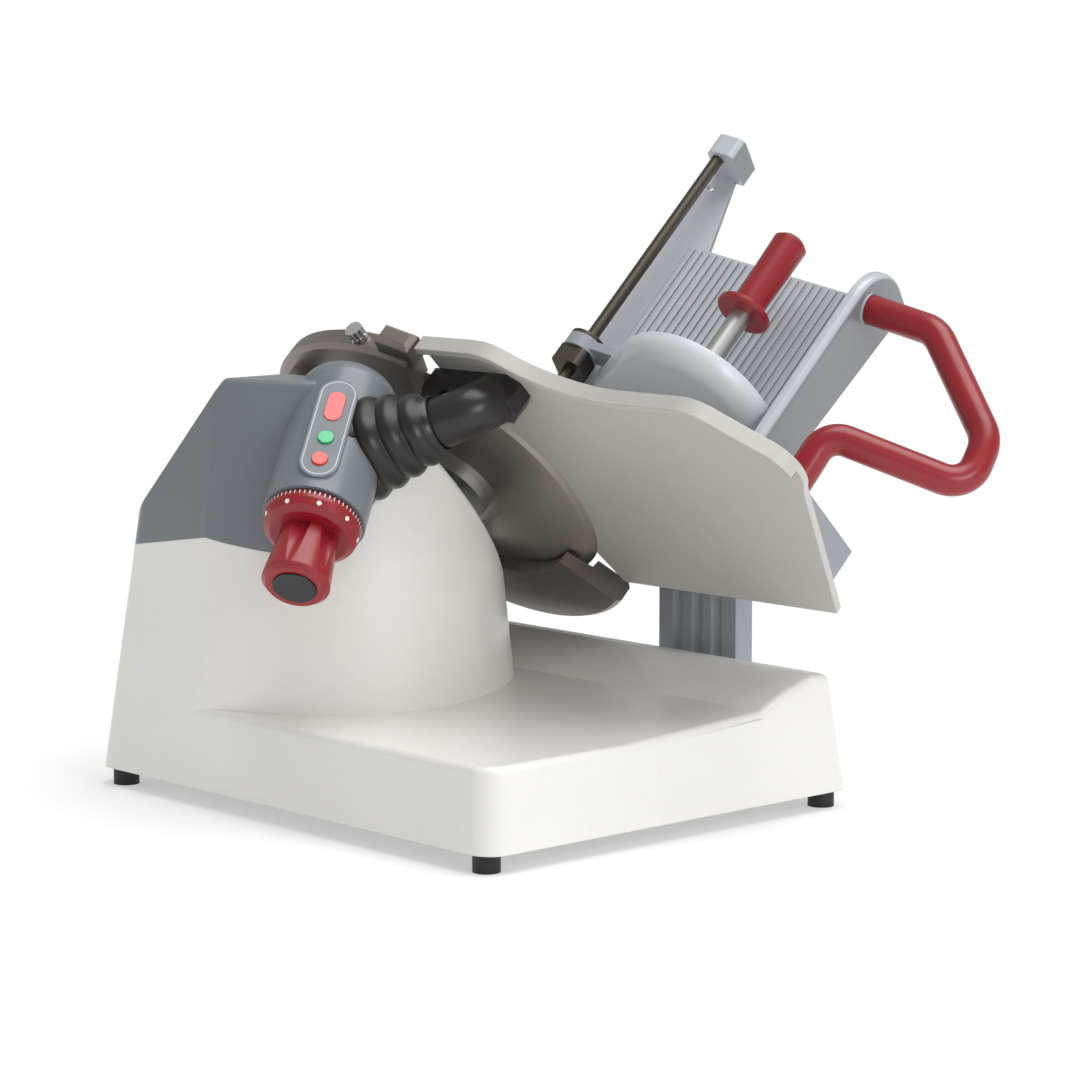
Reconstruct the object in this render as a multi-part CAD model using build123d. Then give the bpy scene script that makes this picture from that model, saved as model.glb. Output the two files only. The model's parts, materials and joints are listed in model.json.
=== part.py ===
"""Gravity-feed food slicer with a hand-pushed food table, in millimetres.

Modelled from the middle of the base on the floor, +Z up, operator at -Y, food table on +X, and moved
at the end so that the origin is on the floor under the middle of the whole object's outline.
The knife leans: its axis runs up and to the right, square to Y. Three leaning frames follow it:
the cut frame has (y, rise, n), with n along the knife axis; the table frame is the cut frame rolled
about n, with (across, lift, n); the index frame follows the gauge knob, with its depth inward.
"""
from build123d import *
from math import cos, radians, sin, sqrt, tan
import os

# Base casting and its tower
BASE_WIDTH = 478.0
BASE_DEPTH = 600.0
FOOT_HEIGHT = 18.0
CORNER_RADIUS = 24.0
DRAFT = 6.0
WALL = 6.0
RECEIVER_Z = 97.0
RECEIVER_BEND_X = -60.0
COVE_INSET = 120.0
COVE_RISE = 10.0
COVE_BOW = 3.0
RIM_INSET = 42.0
RIM_RISE = 36.0
RIM_FALL = 0.1
EDGE_ROUND = 8.0
TOWER_INSET_X = 195.5
TOWER_INSET_Y = 137.0
TOWER_RADIUS = 188.0
TOWER_DRAFT = 6.0
TOWER_TOP = 418.0
SLOPE_INSET = 159.0
SLOPE = 48.0
SEAM_INSET = 154.3
SEAM_Z = 262.4
SEAM_FALL_FRONT = 0.135
SEAM_FALL_BACK = 0.152
SHOULDER_Z = 338.0
SPAN = 700.0

# Fits
FIT = 0.1
RUN = 0.06
SEAT = 0.3

# Feet, bottom cover and cord inlet
FOOT_RADIUS = 13.0
FOOT_INSET_X = 20.0
FOOT_INSET_Y = 25.0
FOOT_BOSS_RADIUS = 10.0
FOOT_SCREW_RADIUS = 3.0
FOOT_SCREW_HEAD_RADIUS = 6.0
FOOT_SCREW_HEAD = 4.0
FOOT_SCREW_RECESS = 5.0
FOOT_SCREW_GRIP = 24.0
COVER_SHEET = 2.0
COVER_SCREW_RADIUS = 2.5
COVER_SCREW_HEAD_RADIUS = 5.0
COVER_SCREW_HEAD = 3.0
COVER_SCREW_GRIP = 14.0
COVER_BOSS_RADIUS = 7.0
COVER_BOSS_TOP = 112.0
COVER_BOSS_INSET_X = 18.0
COVER_BOSS_INSET_Y = 22.0
INLET_X = -90.0
INLET_Z = 62.0
INLET_RADIUS = 11.0
INLET_BORE = 5.0
INLET_FLANGE_RADIUS = 16.0
INLET_FLANGE = 4.0
INLET_LENGTH = 22.0

# Knife and its plane
KNIFE_TILT = 44.45
CUT_N = 291.5
KNIFE_INSET_Y = 173.5
KNIFE_RISE = 148.5
KNIFE_RADIUS = 165.0
KNIFE_DEPTH = 20.0
KNIFE_BORE = 17.0
KNIFE_SEAT_RADIUS = 60.0
KNIFE_SEAT_DEPTH = 12.0
BEVEL_WIDTH = 13.0
BEVEL_DEPTH = 3.0
EDGE_THICKNESS = 0.4
KNIFE_SCREW_CIRCLE = 31.0
KNIFE_SCREW_RADIUS = 3.0
KNIFE_SCREW_HEAD_RADIUS = 5.5
KNIFE_SCREW_HEAD = 3.0
KNIFE_SCREWS = 4
FACE_N = 211.0

# Knife shaft, bearings and drive
SHAFT_RADIUS = 12.5
SHAFT_FLANGE_RADIUS = 45.0
SHAFT_FLANGE = 10.0
BEARING_RADIUS = 26.0
BEARING_WIDTH = 15.0
HOUSING_RADIUS = 38.0
HOUSING_BORE = 20.0
HOUSING_DEPTH = 58.0
HOUSING_NOSE = 22.0
HOUSING_NOSE_RADIUS = 34.0
HOUSING_FLANGE_RADIUS = 56.0
HOUSING_FLANGE = 8.0
HOUSING_SCREW_CIRCLE = 47.0
HOUSING_SCREW_RADIUS = 3.0
HOUSING_SCREW_HEAD_RADIUS = 5.5
HOUSING_SCREW_HEAD = 5.0
HOUSING_SCREWS = 6
PULLEY_WIDTH = 18.0
PULLEY_GAP = 8.0
PULLEY_LIP = 2.5
KNIFE_PULLEY_RADIUS = 42.0
MOTOR_PULLEY_RADIUS = 21.0
BELT_THICKNESS = 3.0
BELT_WIDTH = 12.0
MOTOR_OFFSET_Y = 73.5
MOTOR_OFFSET_RISE = 41.5
MOTOR_RADIUS = 52.0
MOTOR_LENGTH = 130.0
MOTOR_SHAFT_RADIUS = 8.0
MOTOR_SHAFT_ROOT = 20.0
BRACKET_THICKNESS = 6.0
BRACKET_HALF_WIDTH = 50.0
BRACKET_REACH = 68.0

# Ring guard, knife cover and latch
RING_CLEARANCE = 5.0
RING_WIDTH = 43.0
RING_LIP = 32.0
RING_LIP_DEPTHS = (9.0, 11.5)
RING_DEPTH = 26.0
RING_WEB = 5.0
RING_START = -128.0
RING_ARC = 243.0
LUG_ANGLE = 111.0
LUG_LENGTH = 20.0
LUG_HALF_WIDTH = 20.0
LUG_DEPTH = 22.0
GUARD_HUB_RADIUS = 64.0
GUARD_HUB = 10.0
GUARD_ARM_WIDTH = 26.0
GUARD_ARM = 12.0
GUARD_ARM_LIFT = 1.5
GUARD_ARM_ANGLES = (60.0, 0.0, -55.0)
GUARD_POST_INSET = 20.0
GUARD_POST_RADIUS = 11.0
COVER_INSET = 69.0
COVER_THICKNESS = 3.4
COVER_DROP = 2.8
EAR_WIDTH = 36.0
EAR_THICKNESS = 3.2
EAR_GAP = 0.8
EAR_OVERLAP = 27.0
EAR_ROOT = 70.0
EAR_FOOT = 22.0
LATCH_ANGLE = 97.0
LATCH_RADIUS = 9.0
LATCH_HEIGHT = 15.0
LATCH_STEM_RADIUS = 5.0
LATCH_STEM = 16.0
LATCH_FLUTES = 10
LATCH_FLUTE_RADIUS = 2.0
LATCH_FLUTE_OFFSET = 1.2

# Slice gauge
GAUGE_SHEET = 8.0
GAUGE_RIM_DEPTH = 17.0
GAUGE_RIM_TOP = 8.0
GAUGE_OPEN_END = 1.0
GAUGE_KNIFE_GAP = 3.0
GAUGE_TRAVEL = 35.0
GAUGE_BOTTOM = -5.0
GAUGE_INNER_Y = -10.0
GAUGE_FOOT_Y = -306.0
GAUGE_FRONT = ((-386.0, 185.0), (-397.0, 216.0), (-377.0, 249.0))
GAUGE_CORNER = ((-338.0, 282.0), (-321.0, 294.0), (-300.0, 299.0))
GAUGE_TOP = 299.0
GAUGE_SWEEP_Y = -225.0
GAUGE_SWEEP = ((-133.0, 318.6), (-105.0, 334.5))
GAUGE_HORN_Y = -55.0
GAUGE_HORN_TOP = 356.0
GAUGE_HORN_END_Y = 18.0
PAD_Y = (-92.0, 36.0)
PAD_RISE = (276.0, 318.0)
PAD_DEPTH = 26.0
PAD_CHAMFER = 12.0
ELBOW_RADIUS = 25.0
ELBOW_BEND = 30.0
ELBOW_Y = -64.0
ELBOW_LIFT = 21.0
ELBOW_DROP = 51.5
ARM_RADIUS = 11.0
ARM_BEND = 20.0
ARM_EXIT = 25.0
ELBOW_START = 0.55
BAR_RADIUS = 9.0
BAR_OFFSET = 45.0
BAR_BELOW = 62.0
BAR_ABOVE = 30.0
CLAMP_RADIUS = 18.0
CLAMP_HEIGHT = 16.0
GUIDE_WIDTH = 36.0
GUIDE_HEIGHT = 12.0
GUIDE_ABOVE_BAR_END = 2.0
GAUGE_SCREW_RADIUS = 3.0
GAUGE_SCREW_HEAD_RADIUS = 5.5
GAUGE_SCREW_HEAD = 4.0
GAUGE_SCREW_GRIP = 5.0
GAUGE_SCREW_INSET = 10.0
GAUGE_SCREW_YS = (-26.0, -2.0)

# Index knob, spindle, nut and gauge cylinder
INDEX_END = (-246.0, -34.0, 233.0)
INDEX_TURN = 33.6
INDEX_LIFT = 42.7
CYLINDER_RADIUS = 50.0
CYLINDER_START = 86.0
CYLINDER_END = 262.0
CYLINDER_DOME = 28.0
CYLINDER_WALL = 6.0
SPINDLE_RADIUS = 6.0
SPINDLE_START = 22.0
SPINDLE_END = 235.0
NUT_DEPTH = 195.0
NUT_HALF_LENGTH = 13.0
NUT_HALF_HEIGHT = 8.0
NUT_HALF_WIDTH = 9.0
NUT_PIN_RADIUS = 4.0
NUT_PIN_LENGTH = 24.0
ARM_BELOW_SPINDLE = 23.0
PIN_SLOT_CLEARANCE = 0.3
KNOB_START = 3.0
KNOB_END = 64.0
KNOB_RADIUS = 33.0
KNOB_NECK_RADIUS = 28.0
KNOB_ROUND = 5.0
KNOB_LOBES = 6
KNOB_GROOVE = 11.0
KNOB_GROOVE_CIRCLE = 33.0
KNOB_GROOVE_LEAN = 11.2
DIAL_END = 84.0
DIAL_RADIUS = 47.0
DIAL_NECK_RADIUS = 38.0
DIAL_SHOULDER = (45.0, 5.0)
DIAL_BEVEL = 12.0
DIAL_NOTCHES = 60
DIAL_NOTCH_RADIUS = 1.1
DIAL_NOTCH_LENGTH = 3.5
CAP_RADIUS = 21.0
CAP_THICKNESS = 6.4
CAP_PROUD = 1.5

# Rubber boot
BOOT_RIBS = 5
BOOT_START = -28.0
BOOT_PITCH = 20.0
BOOT_BIG = (49.0, 54.0)
BOOT_SMALL = 29.0
BOOT_RIB = 4.0
BOOT_SHIFT = (-4.5, 13.8)
BOOT_SHEET = 2.5
BOOT_CUFF = 6.0

# Control panel
PANEL_TURN = 11.0
PANEL_LENGTH = 122.0
PANEL_WIDTH = 38.0
PANEL_DEPTH = 158.0
PANEL_PROUD = 2.5
BUTTON_RADIUS = 7.5
BUTTON_PROUD = 2.2
BUTTON_LENGTH = 14.0
BUTTON_TRAVEL = 2.0
START_DEPTH = 145.0
STOP_DEPTH = 118.0
LENS_LENGTH = 36.0
LENS_WIDTH = 17.0
LENS_DEPTH = 185.0
LENS_SINK = 1.5
LENS_PROUD = 1.0
SWITCH_DEPTHS = (100.0, 200.0)
SWITCH_WIDTH = 28.0
SWITCH_THICKNESS = 14.0
SWITCH_TAB = 8.0

# Carriage under the table
ROD_INSET = 49.0
ROD_Z = 62.0
ROD_RADIUS = 12.0
GUIDE_ROD_INSET = 89.0
GUIDE_ROD_RADIUS = 8.0
BUSH_WALL = 4.0
BUSH_LENGTH = 20.0
TRUCK_INSETS = (105.0, 31.0)
TRUCK_Y = (-140.0, 0.0)
TRUCK_HALF_HEIGHT = 22.0
CARRIAGE_FORWARD = 110.0
CARRIAGE_BACK = 220.0
FOOT_LINK_HALF = 10.0
LINK_Y = (-115.0, -10.0)
KNUCKLE_LENGTH = 25.0
KNUCKLE_GAP = 0.5
KNUCKLE_RADIUS = 14.0
PIVOT_REACH = 31.0
PIVOT_RADIUS = 7.0
SLOT_CLEARANCE = 4.0
ARM_COLUMN_REACH = (19.0, 43.0)
ARM_COLUMN_Y = (-118.0, -7.0)
ARM_COLUMN_FOOT = 18.0
FLUTE_RADIUS = 9.0
FLUTES = 3
HEAD_ACROSS = (-100.0, 45.0)
HEAD_N = (306.0, 560.0)
HEAD_THICKNESS = 18.0

# Saddle that carries the handle's lower end
SADDLE_N = (302.0, 348.0)
SADDLE_FRONT_Y = -292.0
SADDLE_EAR = 28.0
SADDLE_EAR_TOP = 125.0
SADDLE_BOTTOM = 10.0
SADDLE_BACK_Y = -30.0
SADDLE_BEND_Y = -150.0
SADDLE_BACK_DEPTH = 46.0

# Food table
TABLE_ROLL = 18.0
FLOOR_LIFT = 136.4
FLOOR_THICKNESS = 6.0
TABLE_BACK = 99.0
TABLE_N = (302.0, 609.0)
WALL_INNER = -157.0
WALL_OUTER = -170.5
WALL_SHEET = 4.0
WALL_FOOT_BOTTOM = 128.0
WALL_HEAD_BOTTOM = 96.0
WALL_TOP = 184.0
WALL_HEAD_ROUND = 62.0
WALL_EDGE_ROUND = 8.0
WALL_HEAD_N = 642.0
RIB_PITCH = 9.2
RIB_WIDTH = 5.6
RIB_HEIGHT = 2.0
RIBS_BACK = 68.0
RIB_MARGIN = 3.0
WING_N = 729.0
WING_TIP = 76.0
WING_ROOT = 44.0
PUSHER_ROD_ACROSS = 82.5
PUSHER_ROD_LIFT = 165.0
PUSHER_ROD_RADIUS = 6.5
ROD_BLOCK_HALF = 11.5
ROD_FOOT_BLOCK = 10.0
ROD_HEAD_BLOCK = 25.0
ROD_HEAD_REACH = 22.0
ROD_BLOCK_ROUND = 8.0
HANG_HOLE_RADIUS = 4.0
HANG_HOLE_INSETS = (9.8, 42.7)
BOSS_RADIUS = 17.0
BOSS_PROUD = 2.5

# Handle
HANDLE_RADIUS = 15.5
HANDLE_TOP_N = 586.0
HANDLE_TOP_LIFT = 155.5
HANDLE_KNEES = ((-256.0, 165.0, 577.0), (-358.0, 143.0, 489.0), (-365.0, 137.0, 434.0),
                (-239.0, 201.0, 406.0))
HANDLE_BENDS = (40.0, 40.0, 28.0, 25.0)
HANDLE_END_Y = -277.0
HANDLE_END_RISE = 105.0
HANDLE_SCREW_RADIUS = 3.0
HANDLE_SCREW_GRIP = 20.0

# Pusher
PUSHER_N = 402.0
PUSHER_THICKNESS = 26.0
PUSHER_ROUND = 22.0
PUSHER_FLOOR_GAP = 1.4
PUSHER_LEFT = 62.0
PUSHER_RIGHT = -152.0
PUSHER_DOME = ((62.0, 150.0), (22.0, 200.0), (-27.0, 244.0), (-76.0, 254.0), (-124.0, 231.0),
               (-146.0, 194.0),
               (-152.0, 152.0))
SPIKE_RADIUS = 1.6
SPIKE_LENGTH = 7.0
SPIKE_SEAT = 4.0
SPIKE_COLUMNS = 6
SPIKE_ROWS = 2
SPIKE_PITCH = 24.0
SPIKE_START = 10.0
SPIKE_LIFT = 144.0
SPIKE_ROW_PITCH = 14.0
SLIDER_RADIUS = 14.0
SLIDER_COLLAR_RADIUS = 20.0
SLIDER_COLLAR = 4.0
SLIDER_BLOCK = 20.0
SLIDER_BLOCK_HALF = 17.0
SLIDER_BLOCK_ROUND = 7.0
SLIDER_CLEARANCE = 1.0
SLIDER_N = (404.0, 444.0)
HUB_RADIUS = 20.0
HUB_GAP = 0.2
PUSHER_ARM_LIFT = (152.0, 178.0)
PUSHER_ARM_INNER = 15.0
PUSHER_ARM_THICKNESS = 10.0
STEM_ACROSS = -76.0
STEM_LIFT = 197.0
STEM_RADIUS = 11.0
STEM_END = 590.0
GRIP_START = 508.0
GRIP_FLANGE = 8.0
GRIP_FLANGE_RADIUS = 29.0
GRIP_RADIUS = 16.5
GRIP_END_RADIUS = 18.5
GRIP_END = 610.0
GRIP_ROUND = 5.0

# Upper housing posts and screws
POST_INSETS_X = (59.0, 129.0)
POST_INSET_Y = 37.0
POST_RADIUS = 9.0
POST_FOOT_Z = 190.0
POST_SCREW_RADIUS = 2.5
POST_SCREW_HEAD_RADIUS = 5.0
POST_SCREW_HEAD = 3.5
POST_SCREW_GRIP = 12.0

# Places that follow from the base's outline
SIDE_X = BASE_WIDTH / 2
REAR_Y = BASE_DEPTH / 2
COVE_X = SIDE_X - COVE_INSET
RIM_X = SIDE_X - RIM_INSET
TOWER_X = TOWER_INSET_X - SIDE_X
TOWER_Y = REAR_Y - TOWER_INSET_Y
SLOPE_START_Y = REAR_Y - SLOPE_INSET
SEAM_Y = REAR_Y - SEAM_INSET
FOOT_X = SIDE_X - FOOT_INSET_X
FOOT_Y = REAR_Y - FOOT_INSET_Y
COVER_BOSS_X = SIDE_X - COVER_BOSS_INSET_X
COVER_BOSS_Y = REAR_Y - COVER_BOSS_INSET_Y
COVER_BOSSES = ((-COVER_BOSS_X, -REAR_Y / 2), (-COVER_BOSS_X, REAR_Y / 2), (SIDE_X / 2, -COVER_BOSS_Y),
                (SIDE_X / 2, COVER_BOSS_Y))
POST_XS = (POST_INSETS_X[0] - SIDE_X, POST_INSETS_X[1] - SIDE_X)
POST_Y = REAR_Y - POST_INSET_Y
KNIFE_Y = REAR_Y - KNIFE_INSET_Y
ROD_X = SIDE_X - ROD_INSET
GUIDE_ROD_X = SIDE_X - GUIDE_ROD_INSET
TRUCK_X = (SIDE_X - TRUCK_INSETS[0], SIDE_X - TRUCK_INSETS[1])
PIVOT_X = SIDE_X + PIVOT_REACH
ARM_COLUMN_X = (SIDE_X + ARM_COLUMN_REACH[0], SIDE_X + ARM_COLUMN_REACH[1])

# Leaning frames
NORMAL = Vector(cos(radians(KNIFE_TILT)), 0, sin(radians(KNIFE_TILT)))
RISE = Vector(-sin(radians(KNIFE_TILT)), 0, cos(radians(KNIFE_TILT)))
ALONG = Vector(0, 1, 0)
CUT = Plane(origin=(0, 0, 0), x_dir=ALONG, z_dir=NORMAL)
ROLL_COS = cos(radians(TABLE_ROLL))
ROLL_SIN = sin(radians(TABLE_ROLL))
TABLE = Plane(origin=(0, 0, 0), x_dir=ALONG * ROLL_COS + RISE * ROLL_SIN, z_dir=NORMAL)
KNIFE = CUT.location * Pos(KNIFE_Y, KNIFE_RISE, CUT_N)
INWARD = Vector(cos(radians(INDEX_LIFT)) * cos(radians(INDEX_TURN)),
                cos(radians(INDEX_LIFT)) * sin(radians(INDEX_TURN)), sin(radians(INDEX_LIFT)))
INDEX_UP = Vector(-sin(radians(INDEX_LIFT)) * cos(radians(INDEX_TURN)),
                  -sin(radians(INDEX_LIFT)) * sin(radians(INDEX_TURN)), cos(radians(INDEX_LIFT)))
INDEX = Plane(origin=INDEX_END, x_dir=INDEX_UP, z_dir=INWARD)
PANEL = INDEX.location * Rot(0, 0, PANEL_TURN) * Plane.YZ.location

# Places that follow from the sizes above
RING_INNER = KNIFE_RADIUS + RING_CLEARANCE
RING_OUTER = RING_INNER + RING_WIDTH
LUG_REACH = RING_OUTER + LUG_LENGTH
GUARD_POST_CIRCLE = RING_INNER + GUARD_POST_INSET
EAR_REACH = RING_INNER + EAR_OVERLAP
COVER_RADIUS = KNIFE_RADIUS - COVER_INSET
FACE_W = FACE_N - CUT_N
GAUGE_BACK_N = CUT_N - GAUGE_SHEET
NUT = CUT.to_local_coords(INDEX.from_local_coords(Vector(0, 0, NUT_DEPTH)))
ARM_RISE = NUT.Y - ARM_BELOW_SPINDLE
BAR_Y = NUT.X + BAR_OFFSET
BAR_N = (NUT.Z - BAR_BELOW, NUT.Z + BAR_ABOVE)
NUT_SIDE_TRAVEL = GAUGE_TRAVEL * INWARD.Y / INWARD.dot(NORMAL)
HOUSING_END_W = FACE_W - HOUSING_DEPTH
PULLEY_W = (HOUSING_END_W - PULLEY_GAP - PULLEY_WIDTH, HOUSING_END_W - PULLEY_GAP)
BRACKET_W = (PULLEY_W[0] - PULLEY_GAP - BRACKET_THICKNESS, PULLEY_W[0] - PULLEY_GAP)
NOSE_W = FACE_W + GUARD_HUB + HOUSING_FLANGE + HOUSING_NOSE
FLOOR_UNDER = FLOOR_LIFT - FLOOR_THICKNESS
HEAD_UNDER = FLOOR_UNDER - HEAD_THICKNESS
PANEL_FACE = CYLINDER_RADIUS + PANEL_PROUD


def block(x, y, z):
    """Box between pairs of limits."""
    return Pos(x[0], y[0], z[0]) * Box(x[1] - x[0], y[1] - y[0], z[1] - z[0], align=(Align.MIN,) * 3)


def rod(radius, z):
    """Round bar along local Z between two heights."""
    return Pos(0, 0, z[0]) * Cylinder(radius, z[1] - z[0], align=(Align.CENTER, Align.CENTER, Align.MIN))


def tube(outer, inner, z):
    """Round sleeve along local Z."""
    return rod(outer, z) - rod(inner, z)


def raised(face, z):
    """Flat outline raised between two heights."""
    return Pos(0, 0, z[0]) * extrude(face, amount=z[1] - z[0])


def prism(points, z):
    """Polygon raised between two heights."""
    return raised(make_face(Polyline(*points, close=True)), z)


def turned(points):
    """Polygon of (radius, height) turned about local Z."""
    return revolve(Plane.XZ * make_face(Polyline(*points, close=True)), Axis.Z)


def ring_of(count, radius, start=0.0):
    """Places spread round local Z."""
    return [Rot(0, 0, start + 360.0 * i / count) * Pos(radius, 0, 0) for i in range(count)]


def group(shapes):
    """Several separate solids under one name."""
    return Compound([solid for shape in shapes for solid in shape.solids()])


def screw(radius, head_radius, head, grip):
    """Screw along local -Z whose head stands on local Z zero."""
    return rod(head_radius, (0, head)) + rod(radius, (-grip, 0))


def envelope(inset):
    """Drafted block that bounds the base and its tower."""
    top = TOWER_TOP + SEAT
    lean = (top - FOOT_HEIGHT) * tan(radians(DRAFT))
    radius = CORNER_RADIUS - inset
    foot = RectangleRounded(BASE_WIDTH - 2 * inset, BASE_DEPTH - 2 * inset, radius)
    head = RectangleRounded(BASE_WIDTH - 2 * inset - 2 * lean, BASE_DEPTH - 2 * inset - 2 * lean, radius)
    return loft([Pos(0, 0, FOOT_HEIGHT) * foot, Pos(0, 0, top) * head], ruled=True)


def above_receiver(drop):
    """Room over the receiving surface, which coves up to a rim on the right."""
    level = RECEIVER_Z - drop
    cove = (COVE_X, level + COVE_RISE)
    rim = (RIM_X, level + RIM_RISE)
    bow = ((cove[0] + rim[0]) / 2, (cove[1] + rim[1]) / 2 + COVE_BOW)
    far_z = rim[1] - RIM_FALL * (SPAN - RIM_X)
    edges = Polyline((-SPAN, level), (RECEIVER_BEND_X, level), cove)
    edges += ThreePointArc(cove, bow, rim)
    edges += Polyline(rim, (SPAN, far_z), (SPAN, SPAN), (-SPAN, SPAN), (-SPAN, level))
    return Plane.XZ.location * extrude(make_face(edges), amount=SPAN, both=True)


def tower_form(inset):
    """Whole tower: drafted cone run into the rear left corner, cut to face the knife."""
    lean = tan(radians(TOWER_DRAFT))
    foot_radius = TOWER_RADIUS - inset + (RECEIVER_Z - FOOT_HEIGHT) * lean
    height = TOWER_TOP - FOOT_HEIGHT
    cone = Pos(TOWER_X, TOWER_Y, FOOT_HEIGHT) * Cone(
        foot_radius, foot_radius - height * lean, height, align=(Align.CENTER, Align.CENTER, Align.MIN))
    corner = block((-SPAN, TOWER_X), (TOWER_Y, SPAN), (FOOT_HEIGHT, TOWER_TOP))
    form = (cone + corner) & envelope(inset)
    form -= CUT.location * block((-SPAN, SPAN), (-SPAN, SPAN), (FACE_N - inset, SPAN))
    top = TOWER_TOP - inset
    ridge_y = SLOPE_START_Y - inset * tan(radians(SLOPE / 2))
    slope = ((-SPAN, top), (ridge_y, top), (SPAN, top - (SPAN - ridge_y) * tan(radians(SLOPE))),
             (SPAN, SPAN), (-SPAN, SPAN))
    return form - Plane.YZ.location * prism(slope, (-SPAN, SPAN))


def pan_form():
    """Base without its tower, rounded along its upper edge."""
    pan = envelope(0) - above_receiver(0)
    upper = []
    for edge in pan.edges():
        box = edge.bounding_box()
        bend = box.size.X < 1 and box.size.Z < 1 and abs(edge.center().X) < RIM_X + 1
        if edge.center().Z > RECEIVER_Z - 1 and not bend:
            upper.append(edge)
    return fillet(upper, EDGE_ROUND)


def tower_skin():
    """Outside of the tower with its edges rounded above the base."""
    tower = tower_form(0)
    return fillet([edge for edge in tower.edges() if edge.center().Z > RECEIVER_Z + COVE_RISE], EDGE_ROUND)


def lower_zone():
    """Part of the tower that belongs to the base casting."""
    front = SEAM_Z - SEAM_FALL_FRONT * (SPAN + SEAM_Y)
    back = SEAM_Z - SEAM_FALL_BACK * (SPAN - SEAM_Y)
    roof = ((-SPAN, front), (SEAM_Y, SEAM_Z), (SPAN, back), (SPAN, 0), (-SPAN, 0))
    below_seam = Plane.YZ.location * prism(roof, (-SPAN, SPAN))
    right = INDEX.location * block((-SPAN, SPAN), (0, SPAN), (-SPAN, SPAN))
    return below_seam + (right & block((-SPAN, SPAN), (-SPAN, SPAN), (0, SHOULDER_Z)))


def gauge_cylinder(radius, start, end):
    """Round end of the gauge housing along the knob axis."""
    body = rod(radius, (start, end))
    dome = CYLINDER_DOME - (CYLINDER_RADIUS - radius)
    return INDEX.location * fillet(body.edges().sort_by(Axis.Z)[-1], dome)


def arm_points():
    """Corners of the gauge arm: clamp, cylinder side, elbow and pad."""
    exit_point = Vector(NUT.X - ARM_EXIT, ARM_RISE, NUT.Z)
    pad_rise = (PAD_RISE[0] + PAD_RISE[1]) / 2
    pad_n = GAUGE_BACK_N - PAD_DEPTH / 2
    elbow = Vector(ELBOW_Y, pad_rise + ELBOW_LIFT, GAUGE_BACK_N - ELBOW_DROP)
    return Vector(BAR_Y, ARM_RISE, NUT.Z), exit_point, elbow, Vector(ELBOW_Y, pad_rise, pad_n)


def swept(points, bends, radius):
    """Round bar along straight runs with rounded corners."""
    path = FilletPolyline(*points, radius=bends)
    return sweep(Plane(path @ 0, z_dir=path % 0) * Circle(radius), path)


def swept_slot(start, end, radius):
    """Room in the cut frame for a round bar from start to end that moves back along n."""
    run = Vector(end.X - start.X, end.Y - start.Y, 0)
    frame = Plane(origin=start, x_dir=run, z_dir=run.cross(Vector(0, 0, 1)))
    climb = (end.Z - start.Z) / run.length
    half = radius * sqrt(1 + climb * climb)
    far = run.length + radius
    points = ((-radius, -radius * climb - half - GAUGE_TRAVEL), (far, far * climb - half - GAUGE_TRAVEL),
              (far, far * climb + half), (-radius, -radius * climb + half))
    return frame.location * prism(points, (-radius, radius))


def arm_slot():
    """Slot in the housing that the gauge arm moves along."""
    clamp, exit_point, elbow, _ = arm_points()
    radius = ARM_RADIUS + 2 * SEAT
    thick_start = exit_point + (elbow - exit_point) * ELBOW_START
    slot = swept_slot(clamp, exit_point, radius) + swept_slot(exit_point, thick_start, radius)
    return CUT.location * slot


def button_places():
    """Places of the start and stop buttons on the panel."""
    return [PANEL * Pos(0, depth, 0) for depth in (START_DEPTH, STOP_DEPTH)]


def slope_screw_places():
    """Places of the upper housing's screws on its rear slope."""
    slope_z = TOWER_TOP - (POST_Y - SLOPE_START_Y) * tan(radians(SLOPE))
    return [Pos(x, POST_Y, slope_z) * Rot(-SLOPE, 0, 0) for x in POST_XS]


def bearing_holes():
    """Holes in the tower's knife face for the bearing housing and its screws."""
    depth = (FACE_W - 2 * WALL, FACE_W + 1)
    holes = rod(HOUSING_RADIUS + FIT, depth)
    for place in ring_of(HOUSING_SCREWS, HOUSING_SCREW_CIRCLE):
        holes += place * rod(HOUSING_SCREW_RADIUS + FIT, depth)
    return KNIFE * holes


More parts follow.
